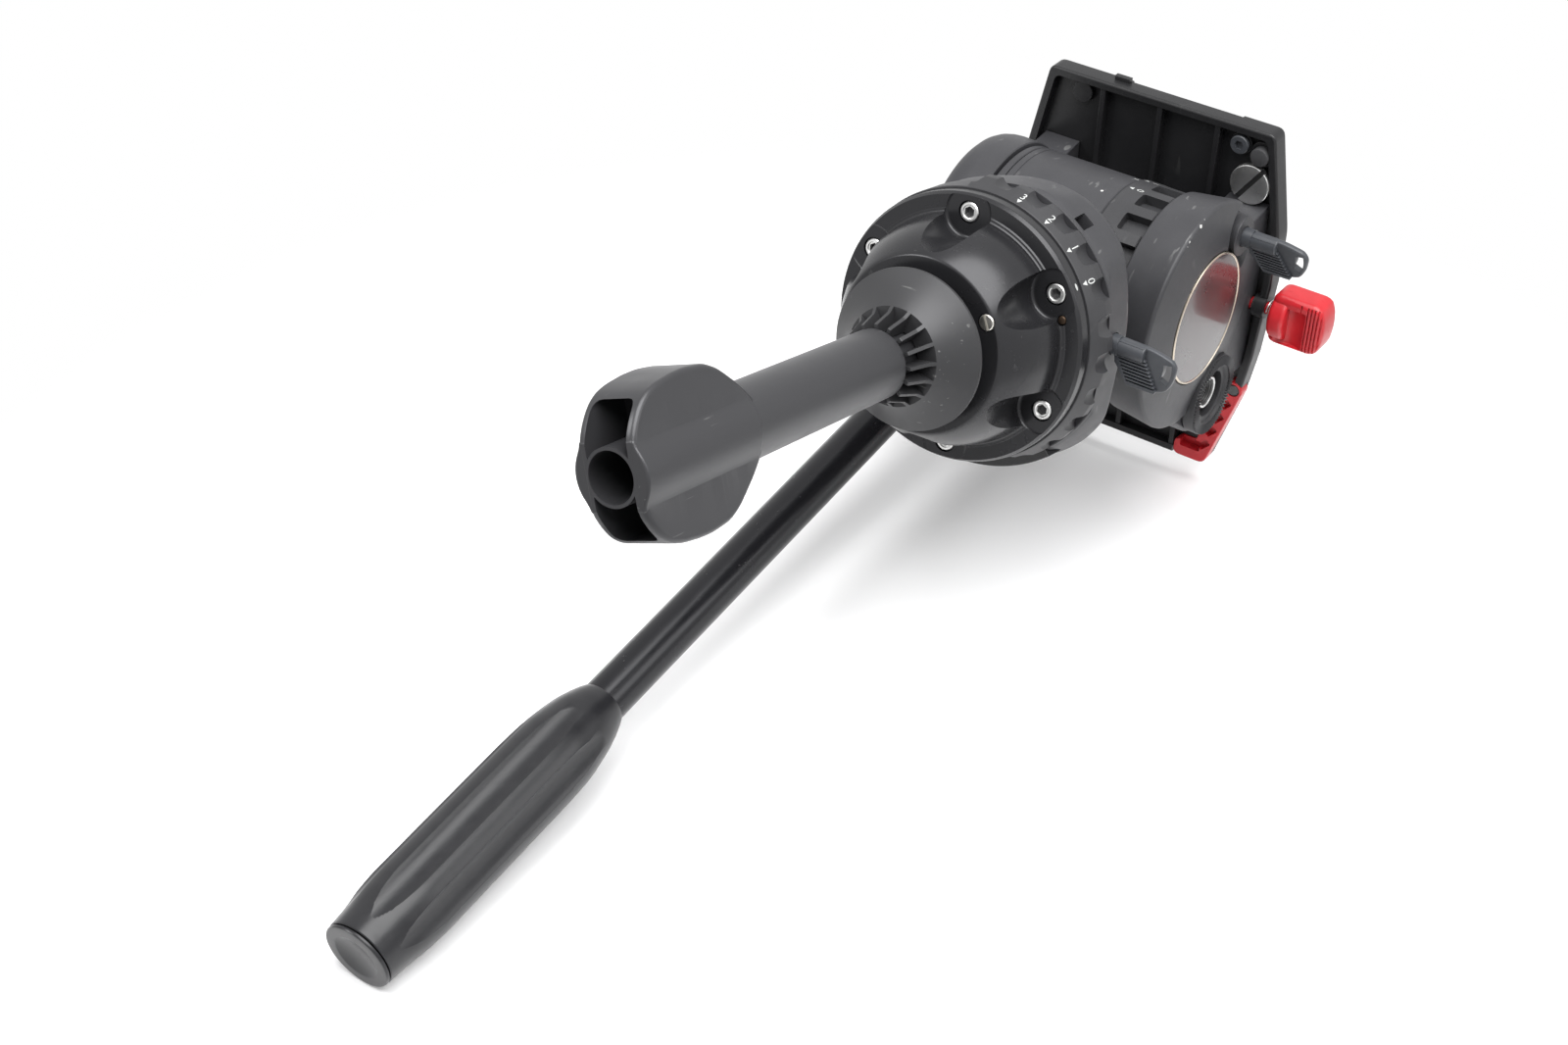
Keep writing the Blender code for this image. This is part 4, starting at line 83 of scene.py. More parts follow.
# %% Outlines
def soften(points, reach, closed=True, steps=4):
    """Rounds each corner of a line of points, as far as its sides allow."""
    made = []
    count = len(points)
    for i, point in enumerate(points):
        if not closed and i in (0, count - 1):
            made.append(tuple(point))
            continue
        here = Vector(point)
        before, after = Vector(points[i - 1]) - here, Vector(points[(i + 1) % count]) - here
        far = min(reach, before.length * 0.45, after.length * 0.45)
        if far < 0.01 or before.angle(after, pi) > pi * 0.97:
            made.append(tuple(point))
            continue
        start, end = here + before.normalized() * far, here + after.normalized() * far
        for k in range(steps + 1):
            t = k / steps
            made.append(tuple(start * (1 - t) ** 2 + here * 2 * t * (1 - t) + end * t ** 2))
    return made


def arc(centre, radius, start, end, count):
    """Points on an arc, with its angles in degrees."""
    step = (end - start) / (count - 1)
    return [(centre[0] + radius * cos(radians(start + i * step)),
             centre[1] + radius * sin(radians(start + i * step))) for i in range(count)]


def tear(radius, tip, tip_radius):
    """A circle at the origin and a smaller one at the tip, joined by their tangents."""
    towards = degrees(atan2(tip[1], tip[0]))
    spread = degrees(acos((radius - tip_radius) / hypot(*tip)))
    return (arc((0, 0), radius, towards + spread, towards - spread + 360, 64)
            + arc(tip, tip_radius, towards - spread, towards + spread, 24))


# %% Meshes from outlines
def as_object(name, data, place=UPRIGHT):
    made = bpy.data.objects.new(name, data)
    bpy.context.scene.collection.objects.link(made)
    data.transform(place)
    return made


def from_faces(name, points, faces, place=UPRIGHT):
    """A mesh whose faces are turned outwards."""
    data = bpy.data.meshes.new(name)
    data.from_pydata(points, [], faces)
    shape = bmesh.new()
    shape.from_mesh(data)
    bmesh.ops.recalc_face_normals(shape, faces=shape.faces)
    shape.to_mesh(data)
    shape.free()
    return as_object(name, data, place)


def turned(name, profile, place=UPRIGHT, steps=128, closed=False, edge=0.0):
    """A profile of (radius, height) turned about Z, open where it meets the axis."""
    line = soften(profile, edge, closed) if edge else profile
    points, rings = [], []
    for radius, height in line:
        if radius < 1e-6:
            rings.append([len(points)])
            points.append((0, 0, height))
            continue
        rings.append(list(range(len(points), len(points) + steps)))
        points += [(*polar(radius, 360 * i / steps), height) for i in range(steps)]
    pairs = list(zip(rings, rings[1:])) + ([(rings[-1], rings[0])] if closed else [])
    faces = []
    for one, two in pairs:
        for i in range(steps):
            k = (i + 1) % steps
            if len(one) == 1:
                faces.append((one[0], two[k], two[i]))
            elif len(two) == 1:
                faces.append((one[i], one[k], two[0]))
            else:
                faces.append((one[i], one[k], two[k], two[i]))
    return from_faces(name, points, faces, place)


def rod(name, radius, start, end, place=UPRIGHT, steps=48, edge=0.0):
    return turned(name, [(0, start), (radius, start), (radius, end), (0, end)], place, steps,
                  edge=edge)


def slab(name, outline, low, high, place=UPRIGHT, edge=0.0, corner=0.0):
    """A flat outline with a thickness, rounded at its corners and along its rims."""
    curve = bpy.data.curves.new(name, "CURVE")
    curve.dimensions = "2D"
    curve.fill_mode = "BOTH"
    curve.extrude = (high - low) / 2 - edge
    curve.bevel_depth = edge
    curve.bevel_resolution = 2
    curve.offset = -edge
    line = soften(outline, corner) if corner else outline
    spline = curve.splines.new("POLY")
    spline.points.add(len(line) - 1)
    for point, (x, y) in zip(spline.points, line):
        point.co = (x, y, 0, 1)
    spline.use_cyclic_u = True
    guide = bpy.data.objects.new(name, curve)
    bpy.context.scene.collection.objects.link(guide)
    data = bpy.data.meshes.new_from_object(
        guide.evaluated_get(bpy.context.evaluated_depsgraph_get()))
    bpy.data.objects.remove(guide, do_unlink=True)
    shape = bmesh.new()
    shape.from_mesh(data)
    bmesh.ops.remove_doubles(shape, verts=shape.verts, dist=0.002)
    bmesh.ops.recalc_face_normals(shape, faces=shape.faces)
    bmesh.ops.translate(shape, vec=(0, 0, (low + high) / 2), verts=shape.verts)
    shape.to_mesh(data)
    shape.free()
    return as_object(name, data, place)


def block(name, low, high, place=UPRIGHT, edge=0.0, corner=0.0):
    (x, y, z), (u, v, w) = low, high
    return slab(name, [(x, y), (u, y), (u, v), (x, v)], z, w, place, edge, corner)


# %% [markdown]
# ## Cutting and joining
# A casting is drawn as a few solids that are joined, and pockets are cut from it. Each tool
# waits on its own piece until that piece is finished, and goes with it, so nothing stray is
# left in the scene. Last of all the normals are weighted by face size, which keeps the flat
# faces of a casting flat beside their rounded edges.

# %% Booleans and finished pieces
SHARP_ANGLE = radians(32)           # edges steeper than this stay sharp


def with_tools(piece, operation, tools):
    for tool in tools:
        step = piece.modifiers.new(tool.name, "BOOLEAN")
        step.operation = operation
        step.object = tool
    return piece


def cut(piece, *tools):
    return with_tools(piece, "DIFFERENCE", tools)


def join(piece, *tools):
    return with_tools(piece, "UNION", tools)


def settled(piece):
    """The piece as a plain mesh, with its modifiers carried out."""
    tools = [step.object for step in piece.modifiers if step.type == "BOOLEAN"]
    bpy.context.view_layer.update()
    piece.data = bpy.data.meshes.new_from_object(
        piece.evaluated_get(bpy.context.evaluated_depsgraph_get()))
    piece.modifiers.clear()
    for tool in tools:
        bpy.data.objects.remove(tool, do_unlink=True)
    return piece


def finished(piece, finish, body, replaced):
    """Carries out the piece's tools, makes it metres, and hangs it on its body."""
    settled(piece)
    data = piece.data
    data.transform(Matrix.Scale(MM, 4))
    data.materials.clear()
    for one in finish if isinstance(finish, (list, tuple)) else [finish]:
        data.materials.append(one)
    data.shade_smooth()
    data.set_sharp_from_angle(angle=SHARP_ANGLE)
    evened = piece.modifiers.new("evened", "WEIGHTED_NORMAL")
    evened.keep_sharp = True
    settled(piece)
    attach(piece, body)
    if replaced:
        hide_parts(*([replaced] if isinstance(replaced, str) else replaced))
    print(piece.name, len(piece.data.polygons), "faces")


# %% [markdown]
# ## Rows of the same thing
# Screws, windows, pockets, teeth and ribs repeat round an axis or along a line. A small
# Geometry Nodes tree places copies of one drawn shape, so a count or a radius is changed in
# one place. The tree ends by making the copies real, because an exported model has no
# instances.

# %% The two trees
def named_input(tree, name, kind, value=None):
    socket = tree.interface.new_socket(name, in_out="INPUT", socket_type="NodeSocket" + kind)
    if value is not None:
        socket.default_value = value


def row_tree(name, round_axis):
    """Copies of a shape on a circle about Z, or along a line."""
    tree = bpy.data.node_groups.new(name, "GeometryNodeTree")
    named_input(tree, "Shape", "Object")
    named_input(tree, "Count", "Int", 6)
    named_input(tree, "Radius", "Float", 10.0)
    named_input(tree, "First angle", "Float", 0.0)
    named_input(tree, "Step", "Vector")
    named_input(tree, "Finish", "Material")
    tree.interface.new_socket("Geometry", in_out="OUTPUT", socket_type="NodeSocketGeometry")
    add, link = tree.nodes.new, tree.links.new
    given = add("NodeGroupInput").outputs
    line = add("GeometryNodeMeshLine")
    line.mode = "OFFSET"
    link(given["Count"], line.inputs["Count"])
    copies = add("GeometryNodeInstanceOnPoints")
    info = add("GeometryNodeObjectInfo")
    link(given["Shape"], info.inputs["Object"])
    link(info.outputs["Geometry"], copies.inputs["Instance"])
    if round_axis:
        line.inputs["Offset"].default_value = (0, 0, 0)
        index = add("GeometryNodeInputIndex")
        share = add("ShaderNodeMath")
        share.operation = "DIVIDE"
        link(index.outputs[0], share.inputs[0])
        link(given["Count"], share.inputs[1])
        angle = add("ShaderNodeMath")
        angle.operation = "MULTIPLY_ADD"
        link(share.outputs[0], angle.inputs[0])
        angle.inputs[1].default_value = 2 * pi
        link(given["First angle"], angle.inputs[2])
        turn = add("ShaderNodeCombineXYZ")
        link(angle.outputs[0], turn.inputs["Z"])
        out = add("ShaderNodeCombineXYZ")
        link(given["Radius"], out.inputs["X"])
        spot = add("ShaderNodeVectorRotate")
        spot.rotation_type = "Z_AXIS"
        link(out.outputs[0], spot.inputs["Vector"])
        link(angle.outputs[0], spot.inputs["Angle"])
        move = add("GeometryNodeSetPosition")
        link(line.outputs[0], move.inputs["Geometry"])
        link(spot.outputs[0], move.inputs["Position"])
        link(move.outputs[0], copies.inputs["Points"])
        link(turn.outputs[0], copies.inputs["Rotation"])
    else:
        link(given["Step"], line.inputs["Offset"])
        link(line.outputs[0], copies.inputs["Points"])
    real = add("GeometryNodeRealizeInstances")
    paint = add("GeometryNodeSetMaterial")
    link(copies.outputs[0], real.inputs[0])
    link(real.outputs[0], paint.inputs["Geometry"])
    link(given["Finish"], paint.inputs["Material"])
    link(paint.outputs[0], add("NodeGroupOutput").inputs[0])
    return tree


ROUND_ROW = row_tree("round row", True)
STRAIGHT_ROW = row_tree("straight row", False)


def row(name, tree, shape, place=UPRIGHT, **values):
    """Runs a tree on a shape and returns the plain mesh of all the copies."""
    settled(shape)
    holder = as_object(name, bpy.data.meshes.new(name))
    step = holder.modifiers.new("row", "NODES")
    step.node_group = tree
    values["Shape"] = shape
    for key, value in values.items():
        step[tree.interface.items_tree[key].identifier] = value
    bpy.context.view_layer.update()
    data = bpy.data.meshes.new_from_object(
        holder.evaluated_get(bpy.context.evaluated_depsgraph_get()))
    holder.modifiers.clear()
    holder.data = data
    data.transform(place)
    bpy.data.objects.remove(shape, do_unlink=True)
    return holder


def round_row(name, shape, count, radius=0.0, first=0.0, place=UPRIGHT):
    return row(name, ROUND_ROW, shape, place, Count=count, Radius=float(radius),
               **{"First angle": radians(first)})


def straight_row(name, shape, count, step, place=UPRIGHT):
    return row(name, STRAIGHT_ROW, shape, place, Count=count, Step=step)


# %% [markdown]
# ## Finishes written as sums
# A finish is a little arithmetic on noise: a mask of where the paint is rubbed through, a
# mottling, a grain. Written with Python's own signs it can be read in one go, so a small
# class wraps a socket, and each sign adds its Math node.

# %% Sockets that do sums
class Value:
    """A socket of numbers that can be added, multiplied and so on."""

    def __init__(self, tree, socket):
        self.tree, self.socket = tree, socket

    def sum(self, operation, *others):
        node = self.tree.nodes.new("ShaderNodeMath")
        node.operation = operation
        for slot, item in zip(node.inputs, (self, *others)):
            if isinstance(item, Value):
                self.tree.links.new(item.socket, slot)
            else:
                slot.default_value = item
        return Value(self.tree, node.outputs[0])

    def turned_round(self, operation, other):
        node = self.tree.nodes.new("ShaderNodeMath")
        node.operation = operation
        node.inputs[0].default_value = other
        self.tree.links.new(self.socket, node.inputs[1])
        return Value(self.tree, node.outputs[0])

    def __add__(self, other):
        return self.sum("ADD", other)

    def __sub__(self, other):
        return self.sum("SUBTRACT", other)

    def __rsub__(self, other):
        return self.turned_round("SUBTRACT", other)

    def __mul__(self, other):
        return self.sum("MULTIPLY", other)

    __radd__ = __add__
    __rmul__ = __mul__

    def step(self, low, high):
        """0 below low and 1 above high, with a soft way between."""
        node = self.tree.nodes.new("ShaderNodeMapRange")
        node.interpolation_type = "SMOOTHSTEP"
        self.tree.links.new(self.socket, node.inputs["Value"])
        node.inputs["From Min"].default_value = low
        node.inputs["From Max"].default_value = high
        return Value(self.tree, node.outputs["Result"])


class Finish:
    """A material whose nodes are added by type, with settings and inputs."""

    def __init__(self, name, **constants):
        self.material = bpy.data.materials.new(name)
        self.material.use_nodes = True
        self.tree = self.material.node_tree
        self.shader = self.tree.nodes["Principled BSDF"]
        for key, value in constants.items():
            self.shader.inputs[key.replace("_", " ")].default_value = value
        self.place = self.node("TexCoord", output="Object")

    def node(self, kind, settings=None, output=0, **inputs):
        made = self.tree.nodes.new("ShaderNode" + kind)
        for key, value in (settings or {}).items():
            if key == "ramp":
                stops = made.color_ramp.elements
                for i, (where, colour) in enumerate(value):
                    stop = stops[i] if i < len(stops) else stops.new(where)
                    stop.position, stop.color = where, colour
            else:
                setattr(made, key, value)
        for key, value in inputs.items():
            slot = made.inputs[int(key[1:]) if key[1:].isdigit() else key.replace("_", " ")]
            if isinstance(value, Value):
                self.tree.links.new(value.socket, slot)
            else:
                slot.default_value = value
        return Value(self.tree, made.outputs[output])

    def noise(self, scale, detail=3.0, roughness=0.55, stretch=(1, 1, 1)):
        """Noise at a scale in grains per metre, drawn out along an axis if wanted."""
        where = self.node("Mapping", Vector=self.place, Scale=stretch)
        return self.node("TexNoise", Vector=where, Scale=scale, Detail=detail,
                         Roughness=roughness)

    def spots(self, scale, size):
        """1 inside scattered round spots."""
        far = self.node("TexVoronoi", output="Distance", Vector=self.place, Scale=scale)
        return 1 - far.step(size * 0.7, size)

    def near(self, spot, size):
        """1 in a ragged patch of a size in metres round a spot."""
        away = self.node("VectorMath", {"operation": "DISTANCE"}, "Value", _0=self.place,
                         _1=spot)
        ragged = away + (self.noise(2500, 2.0) - 0.5) * (size * 1.6)
        return 1 - ragged.step(size * 0.8, size)

    def mix(self, share, one, two):
        """One colour where share is 0 and the other where it is 1."""
        return self.node("Mix", {"data_type": "RGBA"}, 2, Factor=share,
                         _6=one if isinstance(one, Value) else (*one, 1),
                         _7=two if isinstance(two, Value) else (*two, 1))

    def feed(self, name, value):
        self.tree.links.new(value.socket, self.shader.inputs[name])

    def relief(self, height, distance, strength=1.0):
        """A bump whose height of 1 stands for a distance in metres."""
        self.feed("Normal", self.node("Bump", Height=height, Distance=distance,
                                      Strength=strength))


# %% [markdown]
# ## Painted castings
# The base, the drum and the cheeks are cast metal under a fine, slightly rough, charcoal
# paint. It has a soft grain, a faint mottling from handling, thin scratches, and a few
# white chips where it has been knocked. The wear comes from noise that only passes a high
# threshold, and the larger chips have their own places.

# %% Cast charcoal
def rim_spot(x, radius, angle):
    """A place on a face that is turned about the tilt axis, in metres."""
    return x * MM, radius * MM * cos(radians(angle)), (89 + radius * sin(radians(angle))) * MM


BARE_METAL = (0.62, 0.62, 0.6)
KNOCKS = ((rim_spot(-46, 40.6, 333), 0.0009), (rim_spot(-46, 40.6, 322), 0.0006),
          (rim_spot(-46.2, 40.2, 319.5), 0.0005), (rim_spot(-45.5, 41, 337.5), 0.0004),
          (rim_spot(-46, 40.6, 304), 0.0005), (rim_spot(-6, 37.2, 339.5), 0.0005))


def painted(name, colour, worn, roughness, grain=5200, chips=0.0, scratches=0.0):
    """Fine-grained paint with mottling, thin scratches and rare chips."""
    made = Finish(name, Roughness=roughness, Specular_IOR_Level=0.3)
    fine = made.noise(grain, 2.0)
    cloud = made.noise(55, 4.0)
    drawn = made.noise(420, 2.0, 0.4, (1, 0.06, 0.35))
    scratch = drawn.step(0.665, 0.70) * cloud.step(0.45, 0.65)
    rub = made.noise(170, 5.0, 0.65)
    colour_now = made.mix(cloud.step(0.3, 0.75) * 0.55, colour, worn)
    colour_now = made.mix(fine.step(0.52, 0.75) * 0.35, colour_now, worn)
    colour_now = made.mix(scratch * scratches, colour_now, BARE_METAL)
    if chips:
        knock = rub.step(chips, chips + 0.012)
        colour_now = made.mix(knock * 0.9, colour_now, BARE_METAL)
        for spot, size in KNOCKS:
            colour_now = made.mix(made.near(spot, size), colour_now, BARE_METAL)
    made.feed("Base Color", colour_now)
    made.feed("Roughness", roughness - 0.10 + 0.16 * rub + 0.08 * fine)
    made.relief(fine + 0.4 * rub - 1.2 * scratch, 0.00003, 0.55)
    return made.material


CAST = painted("cast_charcoal_paint", (0.032, 0.032, 0.035), (0.048, 0.048, 0.052), 0.44,
               chips=0.80, scratches=0.12)
RING = painted("ring_plastic_moulding", (0.026, 0.026, 0.028), (0.040, 0.040, 0.043), 0.44,
               grain=3800, scratches=0.04)
TRAY = painted("platform_moulding", (0.010, 0.010, 0.011), (0.017, 0.017, 0.018), 0.36,
               grain=2600, scratches=0.02)
print("painted finishes:", CAST.name, RING.name, TRAY.name)

# %% [markdown]
# ## Anodised, glossy and moulded finishes
# The tubes and the ball are anodised black and take thin bright scratches along their
# length. The badge is a glossy bronze disc. Levers, knob and catch are plastic, with the
# faint sheen and small dents of a moulding.

# %% Metals, plastics and rubber
def anodised(name, colour, roughness, scratches, along=(1, 1, 0.05)):
    made = Finish(name, Metallic=0.35, Specular_IOR_Level=0.4)
    haze = made.noise(90, 4.0)
    drawn = made.noise(900, 2.0, 0.5, along)
    mark = drawn.step(0.69, 0.72) * haze.step(0.5, 0.62)
    made.feed("Base Color", made.mix(mark * scratches, colour, (0.45, 0.45, 0.44)))
    made.feed("Roughness", roughness - 0.06 + 0.14 * haze + 0.12 * mark)
    made.relief(made.noise(2400, 2.0) - 0.8 * mark, 0.00002, 0.35)
    return made.material


def moulded(name, colour, second, roughness, scale=2200, depth=0.00003, coat=0.0):
    made = Finish(name, Coat_Roughness=0.2, Coat_Weight=coat, Specular_IOR_Level=0.35)
    fine, cloud = made.noise(scale, 3.0), made.noise(120, 3.0)
    rub = made.noise(330, 4.0, 0.6).step(0.60, 0.72)
    made.feed("Base Color", made.mix(cloud.step(0.35, 0.7) * 0.6 + 0.3 * rub, colour, second))
    made.feed("Roughness", roughness - 0.05 + 0.10 * cloud + 0.10 * rub)
    made.relief(fine, depth, 0.5)
    return made.material


def metal(name, colour, roughness, brushed=(1, 1, 1), stain=(0.30, 0.29, 0.28)):
    made = Finish(name, Metallic=1.0)
    lines, cloud = made.noise(2600, 3.0, 0.5, brushed), made.noise(260, 4.0)
    made.feed("Base Color", made.mix(cloud.step(0.55, 0.8) * 0.5, colour, stain))
    made.feed("Roughness", roughness - 0.08 + 0.22 * cloud + 0.05 * lines)
    made.relief(lines, 0.00001, 0.4)
    return made.material


SATIN = anodised("satin_black_anodising", (0.040, 0.040, 0.043), 0.34, 0.10)
BAR_BLACK = anodised("bar_black_anodising", (0.012, 0.012, 0.014), 0.24, 0.10)
BALL = anodised("ball_black_anodising", (0.020, 0.020, 0.022), 0.25, 0.05, (0.3, 0.3, 1))
WORN = anodised("worn_black_anodising", (0.036, 0.036, 0.038), 0.42, 0.20, (0.05, 0.7, 1))
GRIP = moulded("grip_rubber_satin", (0.013, 0.013, 0.015), (0.020, 0.020, 0.022), 0.30, 3000)
GREY = moulded("lever_grey_moulding", (0.040, 0.043, 0.049), (0.056, 0.059, 0.066), 0.36)
RED = moulded("red_moulding", (0.50, 0.015, 0.022), (0.40, 0.010, 0.016), 0.36, coat=0.2)
GLOSS = moulded("gloss_black_cover", (0.006, 0.006, 0.007), (0.009, 0.009, 0.010), 0.12, 900,
                0.000004, 0.4)
PAD = moulded("pad_rubber", (0.030, 0.030, 0.032), (0.045, 0.045, 0.047), 0.62, 1800)
STEEL = metal("bright_steel", (0.74, 0.74, 0.73), 0.26)
# Dark steel is the catch pin's own colour. It is also painted shade in the spare screw's slot
# and in the bores of the threaded bushes.
DARK_STEEL_AND_SHADE = metal("darkened_steel", (0.09, 0.09, 0.09), 0.42, stain=(0.05, 0.05, 0.05))
UMBER = metal("dark_brown_pin", (0.05, 0.034, 0.024), 0.5, stain=(0.03, 0.02, 0.015))
BRASS = metal("old_brass", (0.42, 0.27, 0.12), 0.38, stain=(0.14, 0.08, 0.05))
INSERT = metal("threaded_silver", (0.66, 0.64, 0.60), 0.30, (1, 1, 0.1), (0.34, 0.28, 0.2))
PRINT = moulded("pale_print", (0.50, 0.51, 0.50), (0.38, 0.39, 0.38), 0.55, 1500)
PALE_GOLD = metal("badge_rim_gold", (0.50, 0.44, 0.36), 0.24)
print("moulded and metal finishes made")

# %% [markdown]
# ## The badge's bronze and the level's liquid
# The badge reads almost black until light grazes it, then it shows a warm, slightly
# cloudy bronze. The level is a green liquid under clear plastic.

# %% Badge and level finishes
def bronze():
    made = Finish("badge_bronze_bare", Coat_Roughness=0.1, Coat_Weight=0.5,
                  Specular_IOR_Level=0.35)
    cloud, fine = made.noise(75, 5.0, 0.6), made.noise(1500, 3.0)
    specks = made.spots(700, 0.22) * fine.step(0.55, 0.7)
    colour = made.mix(cloud.step(0.3, 0.75), (0.026, 0.019, 0.020), (0.042, 0.030, 0.030))
    made.feed("Base Color", made.mix(specks * 0.25, colour, (0.20, 0.16, 0.15)))
    made.feed("Roughness", 0.20 + 0.18 * cloud)
    made.relief(fine, 0.000004, 0.3)
    return made.material


def liquid():
    made = Finish("level_liquid", Coat_Weight=1.0, Coat_Roughness=0.03)
    cloud = made.noise(240, 2.0)
    made.feed("Base Color", made.mix(cloud, (0.36, 0.50, 0.08), (0.50, 0.62, 0.14)))
    made.feed("Roughness", 0.08 + 0.06 * cloud)
    return made.material


BRONZE, LIQUID = bronze(), liquid()
print("badge and level finishes made")

# %% [markdown]
# ## Placing a finished piece
# The imported record names its own material slots, such as cast charcoal or bright steel. A new
# piece is given its finish, hung on its body, and the solids that it stands for are hidden.


def placed(piece, finish, body, replaced=()):
    finished(piece, finish, body, replaced)


# %% [markdown]
# ## The half ball
# The ball sits in the tripod's bowl and lets the head be levelled. It is one casting with a
# wide flange. Six round scoops run down its side, so that a key can reach the screws. The
# ball is turned from one profile, with the little double step where it meets the flange,
# and the scoops are cylinders with a rounded end that are cut from it.

# %% Ball with its flange
BALL_R, FLANGE_R, FLANGE_H, BALL_FOOT = 37.5, 44.5, 5.5, -24.0
SCREW_CIRCLE, FIRST_SCREW = 38.5, 84.2

ball_side = [(sqrt(BALL_R ** 2 - depth ** 2), -depth) for depth in
             [1.0 + (-BALL_FOOT - 1.5) * i / 20 for i in range(21)]]
ball = turned("ball_casting", [
    (8.3, FLANGE_H), (FLANGE_R - 0.5, FLANGE_H), (FLANGE_R, FLANGE_H - 0.4),
    (FLANGE_R, 1.5), (FLANGE_R - 0.15, 1.2), (FLANGE_R - 0.9, 0.0), (FLANGE_R - 1.2, 0),
    (39.3, 0), (39.1, -0.15), (38.9, -0.45), (38.4, -0.5), (38.2, -0.62), (37.9, -0.95)]
    + ball_side + [(28.6, BALL_FOOT + 0.1), (28.2, BALL_FOOT), (21.9, BALL_FOOT),
                   (21.5, BALL_FOOT + 0.4), (21.5, -20.5), (25.0, -17.0), (25.0, -5.5),
                   (8.3, -5.5)], steps=180, closed=True)


def scoop_tool(name, top):
    """A cylinder whose inner end is rounded, as a milling cutter leaves it."""
    line = [(0, top), *soften([(0, top), (8.5, top), (8.5, BALL_FOOT - 2)], 1.3, False, 6)[1:],
            (0, BALL_FOOT - 2)]
    return turned(name, line, steps=72)


cut(ball, round_row("scoops", scoop_tool("scoop", 0.35), 6, SCREW_CIRCLE, FIRST_SCREW),
    round_row("seats", rod("seat", 3.75, -2, 2.4), 6, SCREW_CIRCLE, FIRST_SCREW))
STOP_CIRCLE, STOP_ANGLE, PIN_ANGLE = 28.84 - 2.6, 145.1, 156.9
STOP = at(*polar(STOP_CIRCLE, STOP_ANGLE), BALL_FOOT)
PIN = at(*polar(SCREW_CIRCLE, PIN_ANGLE), 0)
cut(ball, rod("stop_hole", 2.9, -2, 3, STOP, 32), rod("pin_hole", 1.7, -2, 3.5, PIN, 24))
placed(ball, BALL, "ball", "half_ball")

# %% [markdown]
# ## Screws round the flange
# Six cap screws with a hexagon socket hold the flange. One screw is drawn, with a small
# chamfer round its head and its socket cut in, and the row tree sets six of them round the
# circle. Beside one stands a small brown pin, and in the ball's foot is a slotted screw.

# %% Flange screws, pin and stop screw
def cap_screw(name, radius, height, bore, place=UPRIGHT):
    """A cap screw whose head points down, with its face at zero."""
    head = turned(name, [(0, height + 3), (radius * 0.55, height + 3), (radius * 0.55, height),
                         (radius, height), (radius, 0.35), (radius - 0.35, 0),
                         (bore * 1.28, 0), (bore * 1.15, 0.15), (bore * 1.15, 0.3), (0, 0.3)],
                  place, 48)
    socket = slab(name + "_socket", arc((0, 0), bore, 0, 300, 6), -0.5, height + 1.6, place)
    return cut(head, socket)


screws = round_row("flange_screws", cap_screw("flange_screw", 3.3, 2.0, 1.85,
                                              at(0, 0, 0.4)), 6, SCREW_CIRCLE, FIRST_SCREW)
placed(screws, STEEL, "ball", [f"flange_screw_{i}" for i in range(1, 7)])
placed(turned("flange_pin_dome", [(0, 3), (1.4, 3), (1.4, 0.2), (1.1, -0.15), (0.6, -0.28),
                                  (0, -0.3)], PIN, 32), UMBER, "ball", "flange_pin")
stop = turned("ball_stop_screw_slotted", [(0, 2.8), (2.6, 2.8), (2.6, 0.1), (2.3, -0.2),
                                          (0, -0.25)], STOP, 40)
cut(stop, block("stop_slot", (-4, -0.45, -2), (4, 0.45, 0.8),
                STOP @ Matrix.Rotation(radians(62), 4, "Z")))
placed(stop, INSERT, "ball", "ball_stop_screw")

# %% [markdown]
# ## Washer and tie-down handle
# The cone-shaped washer draws the ball down into the bowl. Its neck is a cage of sixteen
# windows over the tube's end. The handle is a long tube with a two-lobed wing to turn it
# by. The wing is a slab with rounded rims, drawn from its side. A second slab, drawn from
# its end, swells over the tube and runs out into the flat faces. Two deep pockets and the
# tube's bore are cut into the end.

# %% Washer
WASHER_TOP, WASHER_NECK, TUBE_TOP = -29.5, -42.0, -50.0
CONE_TOP, CONE_WIDE, CONE_NARROW, CONE_SAG = -30.8, 26.1, 14.6, 0.9
cone = [(CONE_WIDE + (CONE_NARROW - CONE_WIDE) * t - CONE_SAG * sin(pi * t),
         CONE_TOP + (WASHER_NECK - CONE_TOP) * t) for t in [i / 12 for i in range(13)]]
washer = turned("clamp_washer_cone", [
    (23.5, WASHER_TOP), (25.8, WASHER_TOP), (26.1, -29.8)] + cone
    + [(14.3, -42.6), (12.6, -49.2), (12.3, -49.7), (9.4, -49.7), (9.4, -37.7), (5.3, -37.7),
       (5.3, -35.4), (14.6, -35.4)], steps=160, closed=True)
window = slab("window", [(9.1, -1.25), (17.5, -2.85), (17.5, 2.85), (9.1, 1.25)], -50.5,
              -40.2, corner=0.5)
cut(washer, round_row("windows", window, 16, 0))
placed(washer, WORN, "washer", "clamp_washer")

# %% Handle with its wing
WING_ANGLE, TUBE_BORE = 68, 7.5
WING = Matrix.Rotation(radians(WING_ANGLE), 4, "Z")
WING_TOP, WING_END, WING_HALF = -124.0, -184.0, 23.3
WING_SHARES = ((0.21, 0.025), (0.39, 0.075), (0.575, 0.15), (0.77, 0.25),
               (0.86, 0.30), (0.957, 0.383), (1.0, 0.533), (0.99, 0.633), (0.957, 0.75),
               (0.90, 0.833), (0.79, 0.90), (0.64, 0.95), (0.42, 1.0))
handle = turned("tie_down_tube", [
    (TUBE_BORE, -38.0), (8.6, -38.0), (8.8, -38.3), (8.8, TUBE_TOP), (10.8, TUBE_TOP),
    (11.1, TUBE_TOP - 0.3), (11.6, WING_TOP), (11.6, -183.0), (11.2, -183.4), (9.0, -183.4),
    (8.6, -183.95), (7.7, -183.95), (TUBE_BORE, -183.7)], steps=96, closed=True)
